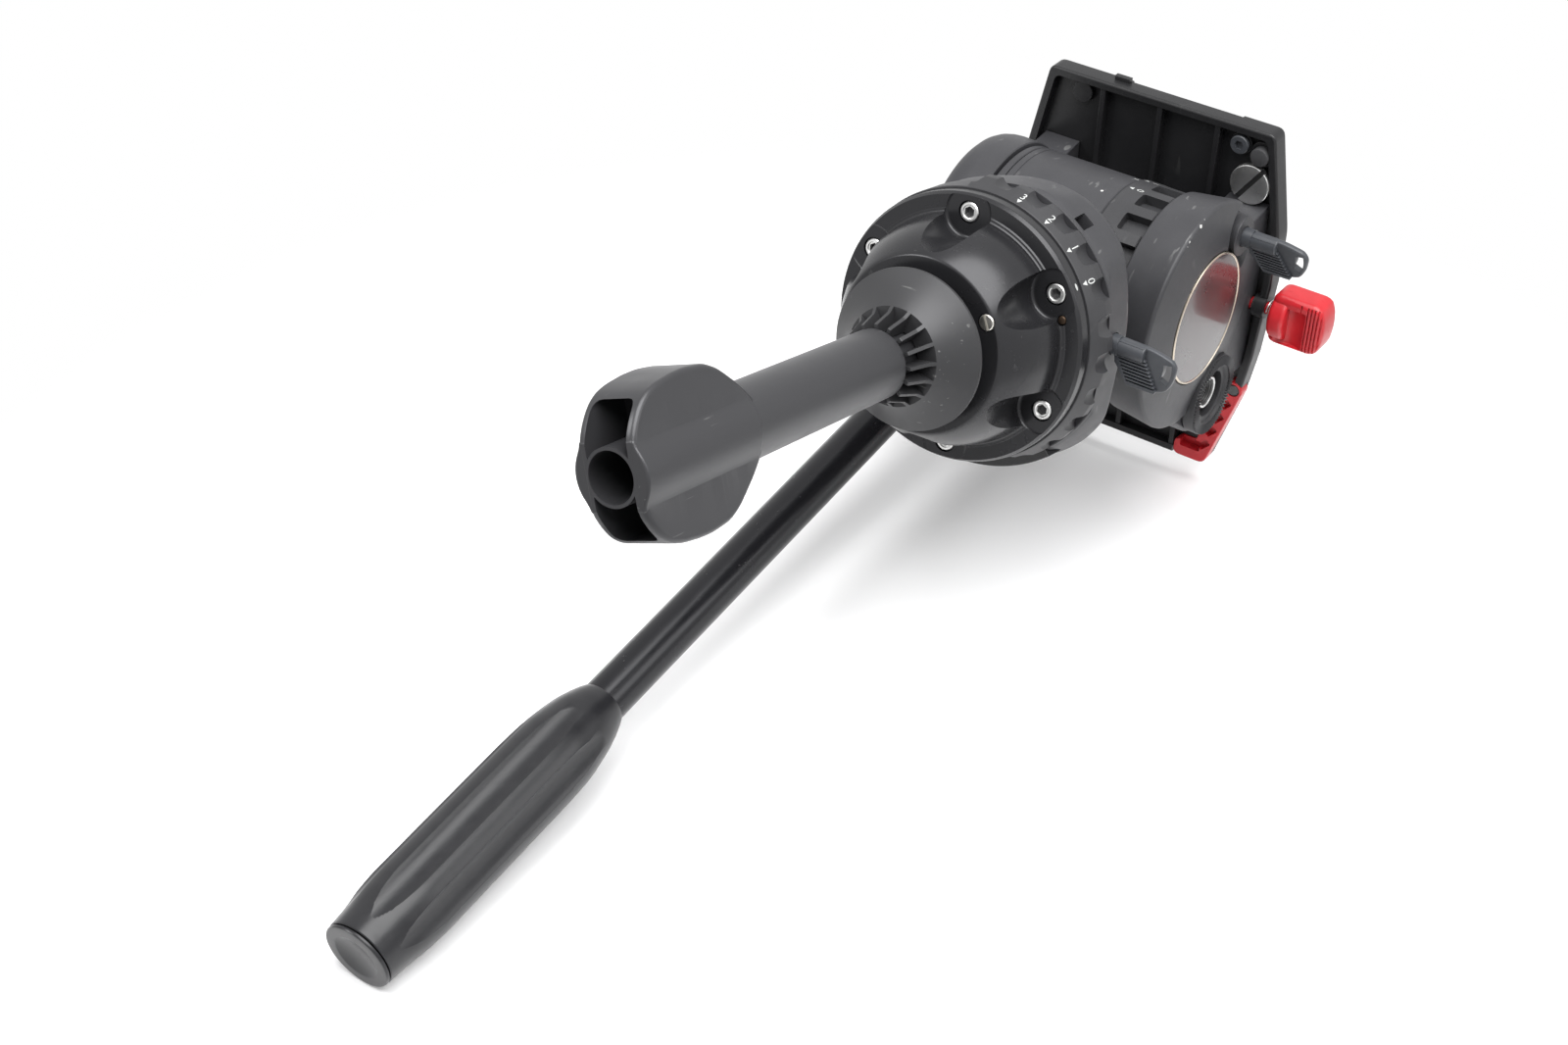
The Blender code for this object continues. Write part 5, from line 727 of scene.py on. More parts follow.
half_wing = [(WING_HALF * across, WING_TOP + (WING_END - WING_TOP) * down)
             for across, down in WING_SHARES]
wing_outline = half_wing + [(-x, z) for x, z in reversed(half_wing)]
wing = slab("wing", wing_outline, -9.5, 9.5, WING @ Matrix.Rotation(pi / 2, 4, "X"), 1.5, 4.0)
quarter = arc((0, 0), 12.4, 88, 60, 8) + [(8.2, 9.65), (10.0, 9.2)]
swelling = quarter + [(x, -y) for x, y in reversed(quarter)]
swelling += [(-x, y) for x, y in reversed(swelling)]
join(wing, slab("swelling", swelling, WING_END + 0.1, -129.5, WING, 0.9, 1.6))
settled(wing)
cut(wing, rod("wing_core", TUBE_BORE, -190, -110, steps=96))
join(handle, settled(wing))
settled(handle)
pocket = block("wing_pocket", (3.5, -7.0, WING_END - 2), (19.6, 7.0, WING_END + 20),
               corner=2.6)
cut(pocket, rod("pocket_ring", 8.5, -190, -160, steps=96))
cut(handle, round_row("wing_pockets", pocket, 2, 0, WING_ANGLE))
placed(handle, SATIN, "handle", "tie_down_handle")

# %% [markdown]
# ## Pan drag ring
# This ring is gripped to choose how much drag the pan has. Its lower part is a cone, and
# 25 finger scoops open towards the base. Beyond the part that a hand can reach it is a
# plain cylinder. The scoops are one rounded cutter set round the ring by the row tree.

# %% Pan drag ring
RING_LOW, RING_HIGH, RING_R, RING_FOOT_R, POCKETS = 5.8, 16.7, 47.6, 44.9, 25
pan_ring = turned("pan_drag_ring_scooped", [
    (RING_R - 0.4, RING_HIGH), (RING_R, RING_HIGH - 0.4), (RING_R, 13.4), (RING_R - 0.15, 12.6),
    (RING_FOOT_R + 0.25, 6.1), (RING_FOOT_R, RING_LOW), (40.8, RING_LOW), (40.8, RING_HIGH)],
    steps=200, closed=True)
pocket = turned("pocket", [(0, 20), (4.2, 20), *soften([(4.2, 20), (4.2, 8.9), (0, 8.9)], 1.2,
                                                       False, 5)[1:]], steps=40)
cut(pan_ring, round_row("pockets", pocket, POCKETS, RING_R + 2.0, FIRST_SCREW + 7.2))
plain = slab("plain_part", arc((0, 0), 52, 236, 438, 60) + arc((0, 0), 45.2, 438, 236, 60),
             RING_LOW - 2, RING_HIGH + 2)
cut(pan_ring, plain)
placed(pan_ring, RING, "pan_ring", "pan_drag_ring")

# %% [markdown]
# ## Numbers and marks
# The rings carry plain numbers, each with a small pointer, and they are read against a dot
# or a dash. A number is a text object that is made a mesh while flat, then each of its
# points is wrapped onto the ring, so it lies on the curved face like real print.

# %% Print that follows a turned face
PRINT_LIFT = 0.05


def flat_text(words, size):
    curve = bpy.data.curves.new("number_" + words, "FONT")
    curve.body, curve.size = words, size
    curve.align_x, curve.align_y = "CENTER", "CENTER"
    curve.resolution_u = 3
    holder = bpy.data.objects.new(curve.name, curve)
    bpy.context.scene.collection.objects.link(holder)
    bpy.context.view_layer.update()
    data = bpy.data.meshes.new_from_object(
        holder.evaluated_get(bpy.context.evaluated_depsgraph_get()))
    bpy.data.objects.remove(holder, do_unlink=True)
    return data


def wrapped(name, flat, radius_at, middle, height, place=UPRIGHT):
    """Wraps flat faces round Z: x goes round the ring and y along its axis."""
    shape = bmesh.new()
    shape.from_mesh(flat)
    bmesh.ops.remove_doubles(shape, verts=shape.verts, dist=0.001)
    bmesh.ops.triangulate(shape, faces=shape.faces)
    bmesh.ops.subdivide_edges(shape, edges=shape.edges, cuts=1)
    for vert in shape.verts:
        z = height + vert.co.y
        radius = radius_at(z) + PRINT_LIFT
        angle = radians(middle) + vert.co.x / radius
        vert.co = (radius * cos(angle), radius * sin(angle), z)
    bmesh.ops.recalc_face_normals(shape, faces=shape.faces)
    facing = sum(face.normal.dot(Vector((*polar(1, middle), 0))) for face in shape.faces)
    if facing < 0:
        bmesh.ops.reverse_faces(shape, faces=shape.faces)
    data = bpy.data.meshes.new(name)
    shape.to_mesh(data)
    shape.free()
    return as_object(name, data, place)


def flat_shape(points):
    data = bpy.data.meshes.new("flat")
    data.from_pydata([(x, y, 0) for x, y in points], [], [list(range(len(points)))])
    return data


def gathered(name, pieces):
    """Several loose meshes as one object."""
    whole = bmesh.new()
    for piece in pieces:
        whole.from_mesh(piece.data)
        bpy.data.objects.remove(piece, do_unlink=True)
    data = bpy.data.meshes.new(name)
    whole.to_mesh(data)
    whole.free()
    return as_object(name, data)


def cone_radius(z):
    return RING_FOOT_R + 0.27 + 2.3 * max(0, min(1, (z - 6.1) / 6.5))


POINTER = [(-0.85, 0.75), (0, -0.95), (0.85, 0.75)]
PAN_ZERO, PAN_STEP = 144.5, 14.4            # degrees
marks = []
for number in range(4):
    middle = PAN_ZERO - PAN_STEP * number
    marks.append(wrapped("digit", flat_text(str(number), 3.9), cone_radius, middle, 9.9))
    marks.append(wrapped("pointer", flat_shape(POINTER), cone_radius, middle, 7.35))
placed(gathered("pan_ring_numbers", marks), PRINT, "pan_ring")
dot = wrapped("flange_dot", flat_shape([(1.15 * x, 0.62 * y) for x, y in
                                        arc((0, 0), 1, 0, 345, 24)]),
              lambda z: FLANGE_R, PAN_ZERO, 3.5)
placed(dot, PRINT, "ball")

# %% [markdown]
# ## Base, neck and drum
# One casting carries everything above the ball: a base that is not quite round, a neck, and
# a drum along the tilt axis. The base's outline is a table of radius against direction,
# smoothed a little, and its height is a stack of rings that lean out and then round over.
# The neck and the drum are joined on, and the hollows are cut last.

# %% Base outline
BASE_LOW, BASE_R = 17.1, 51.0
BASE_SHARES = ((0, .872), (60, .872), (72, .868), (83, .884), (93, .912), (102, .942),
               (108, .960), (116, .982), (126, .988), (137, .985), (147, .945), (157, .912),
               (170, .892), (188, .882), (198, .920), (208, .985), (218, 1), (228, 1),
               (241, .985), (255, .970), (268, .970), (276, .880), (300, .872), (360, .872))


def base_share(angle):
    angle %= 360
    for (near, low), (far, high) in zip(BASE_SHARES, BASE_SHARES[1:]):
        if near <= angle <= far:
            return low + (high - low) * (angle - near) / (far - near)


def base_radius(angle):
    return BASE_R * sum(base_share(angle + turn) for turn in (-3, -1.5, 0, 1.5, 3)) / 5


def base_blank(name):
    """Rings of points that follow the outline, leaning out and rounding over."""
    heights = [(BASE_LOW, 47.3, 0.0), (BASE_LOW + 0.25, 47.7, 0), (BASE_LOW + 1.6, 48.1, 0),
               (BASE_LOW + 2.0, 48.4, 0), (22.8, 49.3, 0), (28.6, BASE_R, 0), (29.6, BASE_R, 0)]
    heights += [(29.6 + 4 * sin(radians(turn)), BASE_R, 4 - 4 * cos(radians(turn)))
                for turn in range(15, 91, 15)]
    count = 240
    points = []
    for height, most, inset in heights:
        for i in range(count):
            angle = 360 * i / count
            points.append((*polar(min(base_radius(angle), most) - inset, angle), height))
    faces = [list(range(count)), list(range(len(points) - count, len(points)))]
    for level in range(len(heights) - 1):
        for i in range(count):
            k, low = (i + 1) % count, level * count
            faces.append((low + i, low + k, low + count + k, low + count + i))
    return from_faces(name, points, faces)


# %% Base, neck and drum in one
DRUM_R, DRUM_LEFT, DRUM_RIGHT = 37.2, -11.3, 27.2
LEVER_SPOT = (0, 5.5, 22.2)
AXIS_X = AXIS @ ALONG_X
housing = base_blank("pan_housing_cast")
neck = slab("neck", [(-27, 31), (27, 31), (27, 108), (-27, 108)], DRUM_LEFT, DRUM_RIGHT,
            SIDEWAYS, 1.0)
collar = turned("neck_collar", [(0, 36.4), (20, 36.4), (22.5, 35.9), (25.5, 34.4),
                                (27.5, 33.7), (29.5, 33.2), (0, 33.2)], steps=96)
drum = turned("drum", [
    (0, DRUM_LEFT), (DRUM_R - 0.5, DRUM_LEFT), (DRUM_R, DRUM_LEFT + 0.5), (DRUM_R, 24.3),
    (DRUM_R - 0.25, 24.45), (DRUM_R - 0.25, 24.6), (DRUM_R, 24.75), (DRUM_R, 26.9),
    (DRUM_R - 0.3, DRUM_RIGHT), (0, DRUM_RIGHT)], AXIS_X, 200)
join(housing, neck, drum, collar)
cut(housing, rod("base_hollow", 40.2, 15, 29.1, steps=144),
    rod("drum_bore", 32.0, -14, 30, AXIS_X, 120), rod("neck_well", 9.5, 33.6, 89, steps=64),
    rod("spindle_passage", 6.3, 28, 36, steps=48),
    turned("lever_scoop", [(0, -54.1), (15.1, -54.1), (14.4, -53.2), (8.2, -46.2),
                           (7.2, -45.2), (0, -45.2)], at(*LEVER_SPOT) @ ALONG_X, 96),
    rod("lever_hole", 3.7, -48, -38, at(*LEVER_SPOT) @ ALONG_X, 40),
    block("square_hole", (40.5, -2.5, -2.5), (55, 2.5, 2.5),
          at(0, 0, 20.8) @ Matrix.Rotation(radians(122.8), 4, "Z"), corner=0.3))


def rim_part(name, inner, outer, low, high, slack=0.0, edge=0.0):
    """An arc of the base's rim behind the neck, for the level."""
    extra = degrees(slack / BASE_R)
    line = (arc((0, 0), outer, 228 - extra, 268 + extra, 41)
            + arc((0, 0), inner, 268 + extra, 228 - extra, 41))
    return slab(name, line, low, high, edge=edge)


LEVEL = at(*polar(41.2, 248), 0)
cut(housing, rim_part("level_recess", 42.9, 56, 15, BASE_LOW + 8.8, 0.3),
    rod("vial_seat", 4.15, 30.6, 36, LEVEL, 64))
placed(housing, CAST, "pan", "pan_housing")
cover = turned("drum_cover_disc", [
    (8.3, 27.5), (DRUM_R - 0.3, 27.5), (DRUM_R, 27.8), (DRUM_R, 29.7), (DRUM_R - 0.6, 30.3),
    (8.3, 30.3)], AXIS_X, 180, True)
placed(cover, CAST, "pan", "drum_cover")

# %% [markdown]
# ## The level
# A glossy cover is let into the base's rim from below. Above it, in the rim's top, sits a
# round spirit level: a shallow disc of liquid with a ring printed over it for the bubble.

# %% Level cover, liquid and bubble ring
level_cover = rim_part("level_cover_gloss", 43.2, 50.3, BASE_LOW, BASE_LOW + 8.4, edge=0.4)
placed(level_cover, GLOSS, "pan", "level_cover")
vial = turned("level_vial_liquid", [(0, 30.95), (3.85, 30.95), (3.85, 32.9), (3.6, 33.15),
                                    (0, 33.25)], LEVEL, 64)
placed(vial, LIQUID, "pan", "level_vial")
ring_mark = turned("level_ring", [(1.6, 33.18), (1.9, 33.18), (1.9, 33.29), (1.6, 33.29)],
                   LEVEL, 48, True)
placed(ring_mark, RING, "pan")

# %% [markdown]
# ## Tilt drag ring
# The second ring turns on the tilt axis between the drum and the left cheek. Its twenty
# windows open towards the cheek, and their floor is round, because it is the ring's own
# core. So the windows are cut right through and the core is a sleeve that is put back.

# %% Tilt drag ring and its print
TILT_RING_R, TILT_RING_LEFT, TILT_RING_RIGHT = 37.8, -28.7, -11.6
tilt_ring = turned("tilt_drag_ring_cast", [
    (20.5, TILT_RING_RIGHT), (TILT_RING_R - 0.5, TILT_RING_RIGHT),
    (TILT_RING_R, TILT_RING_RIGHT - 0.5), (TILT_RING_R, TILT_RING_LEFT + 0.3),
    (TILT_RING_R - 0.3, TILT_RING_LEFT), (20.5, TILT_RING_LEFT)], AXIS_X, 200, True)
opening = slab("ring_window", [(-3.7, TILT_RING_LEFT - 2), (3.7, TILT_RING_LEFT - 2),
                               (3.7, TILT_RING_LEFT + 9.5), (-3.7, TILT_RING_LEFT + 9.5)],
               33.0, 41, SIDEWAYS, corner=0.9)
cut(tilt_ring, round_row("ring_windows", opening, 20, place=AXIS_X))
join(tilt_ring, turned("ring_core", [(25, TILT_RING_LEFT + 0.7), (34.2, TILT_RING_LEFT + 0.7),
                                     (34.2, -16), (25, -16)], AXIS_X, 200, True))
placed(tilt_ring, RING, "tilt_ring", "tilt_drag_ring")


def round_axis(name, flat, angle, x, radius):
    """Print on a face that is turned about the tilt axis, upright towards -X."""
    spot = AXIS @ Matrix.Rotation(-pi / 2, 4, "Y")
    return wrapped(name, flat, lambda z: radius, angle, -x, spot)


TILT_ZERO, TILT_STEP = 90 - 349.5, 18        # degrees
tilt_marks = []
for number in range(4):
    angle = TILT_ZERO - TILT_STEP * number
    tilt_marks.append(round_axis("digit", flat_text(str(number), 3.6), angle, -16.9,
                                 TILT_RING_R))
    tilt_marks.append(round_axis("pointer", flat_shape(POINTER), angle, -13.8, TILT_RING_R))
placed(gathered("tilt_ring_numbers", tilt_marks), PRINT, "tilt_ring")
index = round_axis("drum_index", flat_shape([(-0.35, -0.9), (0.35, -0.9), (0.35, 0.9),
                                             (-0.35, 0.9)]), 90 - 7.5, -9.7, DRUM_R)
placed(index, PRINT, "pan")

# %% [markdown]
# ## Cheeks
# The two cheeks turn with the platform. The left one is a thick round cover with a badge;
# an arm behind it carries the toothed seat of the pan bar, and a foot carries the platform.
# The right one is domed. Each is a turned cover that is joined with two slabs, and then the
# seats, the lever's hollow and the shaft's groove are cut out.

# %% Cheek blanks
TILT_X = TILT @ ALONG_X
ARM_FACE = 44.0
CHEEK_SCREW_X, CHEEK_SCREW_ROWS = 41, (-33, 11)
TILT_LEVER_SPOT = (21.8, 22.5)
left_cheek = turned("left_cheek_cover", [
    (0, -29.3), (38.4, -29.3), (39.0, -29.9), (41.0, -44.4), (40.9, -45.0), (40.5, -45.5),
    (39.8, -45.85), (26.0, -48.0), (0, -48.0)], TILT_X, 200)
right_cheek = turned("right_cheek_dome", [
    (0, 30.9), (37.8, 30.9), (38.2, 31.3), (38.4, 38.0), (38.2, 40.6), (37.6, 43.0),
    (36.5, 45.0), (34.8, 46.6), (32.6, 47.6), (30.0, 48.0), (0, 48.0)], TILT_X, 180)


def cheek_details(cheek, side, inner):
    """Adds the arm and the foot, and cuts the seats of rosette, insert and axle."""
    def span(near, far):
        return sorted((side * near, side * far))

    arm = slab("arm", tear(37.5, ROSETTE[1:], 15.8), *span(33.5, ARM_FACE), TILT @ SIDEWAYS,
               1.4)
    foot = slab("foot", [(-43, 48.7), (-43, 20), (19, 20), (21.8, 48.7)], *span(inner, 45.2),
                TILT @ SIDEWAYS, 0.6)
    seat = TILT @ at(*ROSETTE) @ ALONG_X
    join(cheek, arm, foot)
    cut(cheek, rod("seat", 15.3, *span(ARM_FACE, 50), seat, 96),
        rod("insert_hole", 6.5, *span(34.9, 46), seat, 64),
        rod("axle_hole", 8.3, *span(inner - 2, 40.3), TILT_X, 64))
    for y in CHEEK_SCREW_ROWS:
        cut(cheek, rod("thread", 2.3, 38.5, 52, TILT @ at(side * CHEEK_SCREW_X, y, 0), 32))


cheek_details(left_cheek, -1, 29.3)
cheek_details(right_cheek, 1, 30.9)
HOLLOW = TILT @ at(0, *TILT_LEVER_SPOT) @ ALONG_X
cut(left_cheek, rod("badge_seat", 24.1, -50, -46.8, TILT_X, 128),
    turned("lever_hollow", [(0, -50), (13.0, -50), (12.2, -47.2), (11.2, -42.6), (9.5, -40.4),
                            (8.4, -40.0), (0, -40.0)], HOLLOW, 96))
join(left_cheek, rod("lever_boss", 7.2, -48, -38, HOLLOW, 64, 0.5))
cut(left_cheek, rod("lever_hole", 3.7, -50, -43, HOLLOW, 40),
    rod("shaft_groove", 2.8, -50, -27, CLAMP @ ALONG_X, 40),
    block("jaw_room", (-37, -24, 41.7), (-25.1, -9, 49), TILT))
cut(right_cheek, rod("dial_stem_hole", 6.3, 40, 50, TILT_X, 64))
placed(left_cheek, CAST, "tilt", "left_cheek")
placed(right_cheek, CAST, "tilt", "right_cheek")

# %% [markdown]
# ## Badge
# The round badge is left bare. It is a glossy bronze disc, very slightly domed, in a thin
# pale metal rim.

# %% Badge
badge = turned("badge_face", [(0, -47.1), (22.9, -47.1), (22.9, -48.25), (20, -48.38),
                              (12, -48.5), (0, -48.55)], TILT_X, 160)
badge_rim = turned("badge_rim", [(22.9, -47.1), (23.7, -47.1), (23.7, -48.2), (23.45, -48.5),
                                 (23.1, -48.5), (22.9, -48.25)], TILT_X, 160, True)
placed(badge, BRONZE, "tilt", "badge")
placed(badge_rim, PALE_GOLD, "tilt")

# %% [markdown]
# ## Toothed seats and their inserts
# Each cheek holds a ring of fine radial teeth, which lock the pan bar at an angle, round a
# threaded insert. One tooth is a wedge, and the row tree sets them all on a ring.

# %% Rosettes, inserts and cheek screws
def rosette(name, body, node, place):
    """A flat ring with V-shaped teeth on its +Z face."""
    thickness, teeth = 4.0, 72
    base = turned(name, [(8.8, 0), (14.7, 0), (15, 0.3), (15, thickness + 0.2),
                         (14.6, thickness + 0.4), (11.3, thickness + 0.4),
                         (11.0, thickness + 0.1), (10.4, thickness - 0.6),
                         (8.9, thickness - 0.6), (8.5, thickness - 0.9), (8.5, 0.3)],
                  place, 144, True)
    low, crest_height, half_pitch = thickness + 0.1, thickness + 1.2, pi / teeth * 0.97
    points = []
    for radius in (11.3, 14.7):
        points += [(radius, 0, crest_height), (radius, radius * half_pitch, low),
                   (radius, -radius * half_pitch, low)]
    wedge = from_faces("tooth", points, [(0, 1, 2), (3, 5, 4), (0, 3, 4, 1), (0, 2, 5, 3),
                                         (1, 4, 5, 2)])
    crest = round_row(name + "_teeth", wedge, teeth, 0.0, 6.0, place)
    if node:
        placed(gathered(name + "_toothed", [base, crest]), RING, body, node)
        return None
    return [base, crest]


def insert(name, place, node):
    """A threaded bush, whose thread is a row of fine grooves, with a bright lip. Its dark steel
    is painted shade for the inside of its bore.
    """
    bore = [(4.2, -7.0)]
    for i in range(12):
        bore += [(4.2, -6.6 + 0.7 * i), (4.55, -6.25 + 0.7 * i)]
    line = [(6.2, -8.8), (6.2, 1.9), (5.9, 2.2), (4.8, 2.2), (4.4, 1.8), *bore[::-1],
            (4.2, -8.8)]
    placed(turned(name, line, place, 64, True), DARK_STEEL_AND_SHADE, "tilt", node)
    ring = [(5.0, 2.0), (5.9, 2.0), (5.9, 2.3), (5.7, 2.45), (5.2, 2.45), (5.0, 2.3)]
    placed(turned(name + "_ring", ring, place, 64, True), STEEL, "tilt")


for side, name in ((-1, "left_cheek"), (1, "right_cheek")):
    seat = TILT @ at(side * (ARM_FACE + GAP), *ROSETTE[1:]) @ Matrix.Rotation(
        side * pi / 2, 4, "Y")
    rosette(name + "_rosette", "tilt", name + "_rosette", seat)
    insert(name + "_bush", TILT @ at(side * ARM_FACE, *ROSETTE[1:]) @ Matrix.Rotation(
        side * pi / 2, 4, "Y"), name + "_insert")
for side, name in ((-1, "left_cheek"), (1, "right_cheek")):
    heads = []
    for y in CHEEK_SCREW_ROWS:
        spot = TILT @ at(side * CHEEK_SCREW_X, y, 52.7) @ Matrix.Rotation(pi, 4, "X")
        heads.append(settled(cap_screw("cheek_screw", 3.4, 2.2, 1.6, spot)))
    placed(gathered(name + "_screws", heads), STEEL, "tilt",
           [name + "_screw_1", name + "_screw_2"])

# %% [markdown]
# ## Brake levers
# Each brake has a short grey paddle. A rounded ridge lies over its shaft, a grooved field
# ends in a row of saw teeth for the thumb, and a thinner blade goes on past it, with a
# curved slot near its tip. Both levers are the same shape, so one function makes them.

# %% Levers
LEVER_SHARES = ((0, -.24), (.05, .42), (.30, 1), (.74, .96), (.88, .86), (.97, .55),
                (1, .14), (.93, -.08), (.60, -.22))
LEVER_LONG, LEVER_WIDE = 22.2, 12.2


def brake_lever(name, body, node, place):
    """A paddle that points along -X from the hub's root at its frame's origin."""
    flipped = place @ Matrix.Rotation(pi, 4, "Z")
    outline = [(LEVER_LONG * x, LEVER_WIDE * y) for x, y in LEVER_SHARES]
    blade = slab(name, outline, -0.4, 1.9, flipped, 0.7, 3.0)
    teeth = []
    for i in range(9):
        teeth += [(11.0 + 0.62 * i, 1.0 + 1.15 * i), (11.9 + 0.62 * i, 1.6 + 1.15 * i)]
    thick = slab("thick", [(0.1, -2.7), (10.8, -2.7), (10.9, 0.4), *teeth, (16.4, 11.7),
                           (6.6, 11.9), (1.2, 5.1)], -1.7, 0.6, flipped, 0.25)
    ridge = rod("ridge", 2.9, -11.2, -0.3, place @ ALONG_X, 72, 0.6)
    stem = rod("stem", 3.4, -2, 5.0, place @ ALONG_X, 48)
    groove = block("groove", (1.2, 0.68, -2.5), (13.4, 1.28, -0.9))
    cut(thick, straight_row("grooves", groove, 9, (0.62, 1.15, 0), flipped))
    join(blade, settled(thick), ridge, stem)
    middle = (9.4, 2.8)
    slot = slab("slot", arc(middle, 11.4, -12, 26, 15) + arc(middle, 8.5, 26, -12, 15),
                -6, 6, flipped, corner=0.8)
    cut(blade, slot)
    placed(blade, GREY, body, node)


brake_lever("pan_brake_paddle", "pan_brake", "pan_brake_lever",
            at(-45.5, *LEVER_SPOT[1:]) @ Matrix.Rotation(radians(-10), 4, "X"))
brake_lever("tilt_brake_paddle", "tilt_brake", "tilt_brake_lever",
            TILT @ at(-49.5, *TILT_LEVER_SPOT) @ Matrix.Rotation(radians(-17), 4, "X"))

# %% [markdown]
# ## Camera platform
# From below the platform is a shallow tray with a wall round it and thin ribs across. From
# above it is flat, with a channel for the camera's plate between two low rails. It is one
# rounded slab; the tray and the channel are cut from it, and the ribs, which repeat, come
# from the straight row tree.

# %% Platform outline
HALF_WIDE, FRONT, REAR = 51.5, 49.5, 89.0
RIM, WEB, FLOOR, RAIL = 45.0, 49.0, 51.2, 53.0
CHANNEL_LEFT, CHANNEL_RIGHT = -29.0, 14.5
SPARE_SPOT, SMALL_SPOT, BUTTON_SPOT = (-37.8, 29.0), (-31.5, 42.0), (-39.8, 40.0)
PLATFORM_SHARES = ((.860, 1, 0), (1, .245, 0), (1, 0, .090), (.955, 0, .427),
                   (.895, 0, .646), (.715, 0, 1))


def platform_outline(inset):
    """The platform's plan, each corner moved inwards by the inset."""
    half = [Vector((HALF_WIDE * x, FRONT * front - REAR * rear))
            for x, front, rear in PLATFORM_SHARES]
    points = half + [Vector((-point.x, point.y)) for point in reversed(half)]
    moved = []
    for i, point in enumerate(points):
        before = (point - points[i - 1]).normalized()
        after = (points[(i + 1) % len(points)] - point).normalized()
        normals = Vector((before.y, -before.x)), Vector((after.y, -after.x))
        middle = (normals[0] + normals[1]).normalized()
        moved.append(tuple(point + middle * (inset / middle.dot(normals[0]))))
    return moved


def catch_frame():
    """The catch's pivot, and directions along its arm and out of the platform's edge."""
    bend, corner = [Vector((-HALF_WIDE * x, FRONT * front - REAR * rear))
                    for x, front, rear in PLATFORM_SHARES[-2:]]
    along = (corner - bend).normalized()
    outwards = Vector((along.y, -along.x))
    return bend - along * 3.0 - outwards * 3.1, along, outwards, corner


def catch_outline(slack, proud):
    pivot, along, outwards, corner = catch_frame()
    half = 3.5 + slack
    facing = degrees(atan2(outwards.y, outwards.x))
    inner = 7.0 - REAR + slack
    side = pivot - outwards * half
    return arc(tuple(pivot), half, facing, facing - 180, 16) + [
        tuple(side + along * ((inner - side.y) / along.y)), (-24.0 + slack, inner),
        (-24.0 + slack, -REAR - proud), (corner.x + proud, -REAR - proud),
        tuple(corner + outwards * proud)]


# %% Platform tray
tray = slab("platform_tray", platform_outline(0), RIM, RAIL, TILT, 0.9, 2.6)
cut(tray, slab("tray_hollow", platform_outline(3.0), RIM - 2, WEB, TILT, corner=2.4))
ribs = straight_row("ribs", block("rib", (-23.6, 1.5 - REAR, RIM + 0.3),
                                  (-21.6, FRONT - 1.5, WEB + 0.3), edge=0.25), 3,
                    (22.6, 0, 0), TILT)
join(tray, ribs)
join(tray, block("cross_rib", (-27.9, -66.8, RIM + 0.6), (27.9, -65.0, WEB + 0.3), TILT, 0.25))
join(tray, rod("clamp_boss", 4.2, -51.2, -46.5, CLAMP @ ALONG_X, 64))
for i, (x, y, radius) in enumerate(((*SPARE_SPOT, 6.6), (31.5, 42.0, 4.0),
                                    (*SMALL_SPOT, 4.0), (*BUTTON_SPOT, 4.7))):
    join(tray, rod(f"boss_{i}", radius, 47.0, WEB + 0.3, TILT @ at(x, y, 0), 64, 0.25))
join(tray, block("nib", (CHANNEL_RIGHT, FRONT - 2, WEB), (CHANNEL_RIGHT + 6, FRONT + 1.6,
                                                          51.4), TILT, 0.3))
cut(tray, block("channel", (CHANNEL_LEFT, -92, FLOOR), (CHANNEL_RIGHT, 46.0, 56), TILT,
                corner=1.5),
    block("channel_front", (CHANNEL_LEFT, 40, FLOOR), (CHANNEL_RIGHT, 53, 56), TILT),
    block("jaw_bay", (CHANNEL_LEFT - 6.3, -52.3, FLOOR), (CHANNEL_LEFT + 2, 24.3, 56), TILT,
          corner=0.8),
    block("jaw_slot", (CHANNEL_LEFT - 6.3, -22.3, 46.5), (-26.5, -10.7, 53.5), TILT),
    rod("shaft_hole", 2.5, -54, -45.5, CLAMP @ ALONG_X, 40),
    rod("spare_hole", 3.3, 45, 52.4, TILT @ at(*SPARE_SPOT, 0), 40),
    rod("small_hole", 2.0, 45, 51.2, TILT @ at(*SMALL_SPOT, 0), 32),
    rod("button_hole", 3.7, 43, 51.5, TILT @ at(*BUTTON_SPOT, 0), 48),
    rod("pin_hole", 1.5, 48.2, 51.5, TILT @ at(*catch_frame()[0], 0), 32),
    slab("catch_recess", catch_outline(0.3, 2), RIM - 2, 50.5, TILT))
for side in (-1, 1):
    for y in CHEEK_SCREW_ROWS:
        spot = TILT @ at(side * CHEEK_SCREW_X, y, 0)
        cut(tray, rod("counterbore", 3.7, 50.2, 56, spot, 48),
            rod("screw_hole", 2.3, 46, 52, spot, 32))
placed(tray, TRAY, "tilt", "platform")

# %% [markdown]
# ## What the platform carries
# Underneath sit a large slotted spare screw, a small spare screw, a round release button and
# rubber pads. At the rear corner a red catch turns on its pin, and a bright jaw in the
# channel grips the camera's plate.

# %% Spare screws, button and pads
SPARE = TILT @ at(*SPARE_SPOT, 0)
HEAD_FACE, SLOT_FLOOR = 44.1, 46.2
spare = turned("spare_screw_slotted", [
    (0, 52.1), (2.9, 52.1), (3.0, 51.9), (3.0, 46.7), (7.1, 46.7), (7.4, 46.4), (7.4, 44.6),
    (7.25, 44.3), (6.9, 44.12), (0, HEAD_FACE)], SPARE, 96)
cut(spare, block("spare_slot", (-9, -0.9, 42), (9, 0.9, SLOT_FLOOR),
                 SPARE @ Matrix.Rotation(radians(125), 4, "Z")))
finished(spare, (STEEL, DARK_STEEL_AND_SHADE), "tilt", "spare_screw")
# The slot's walls and floor get the dark steel, as painted shade in the slot.
for face in spare.data.polygons:        # the slot's walls and floor are dark
    spot = SPARE.inverted() @ (face.center / MM)
    if HEAD_FACE + 0.2 < spot.z < SLOT_FLOOR + 0.3 and hypot(spot.x, spot.y) < 7.1:
        face.material_index = 1
SMALL = TILT @ at(*SMALL_SPOT, 0)
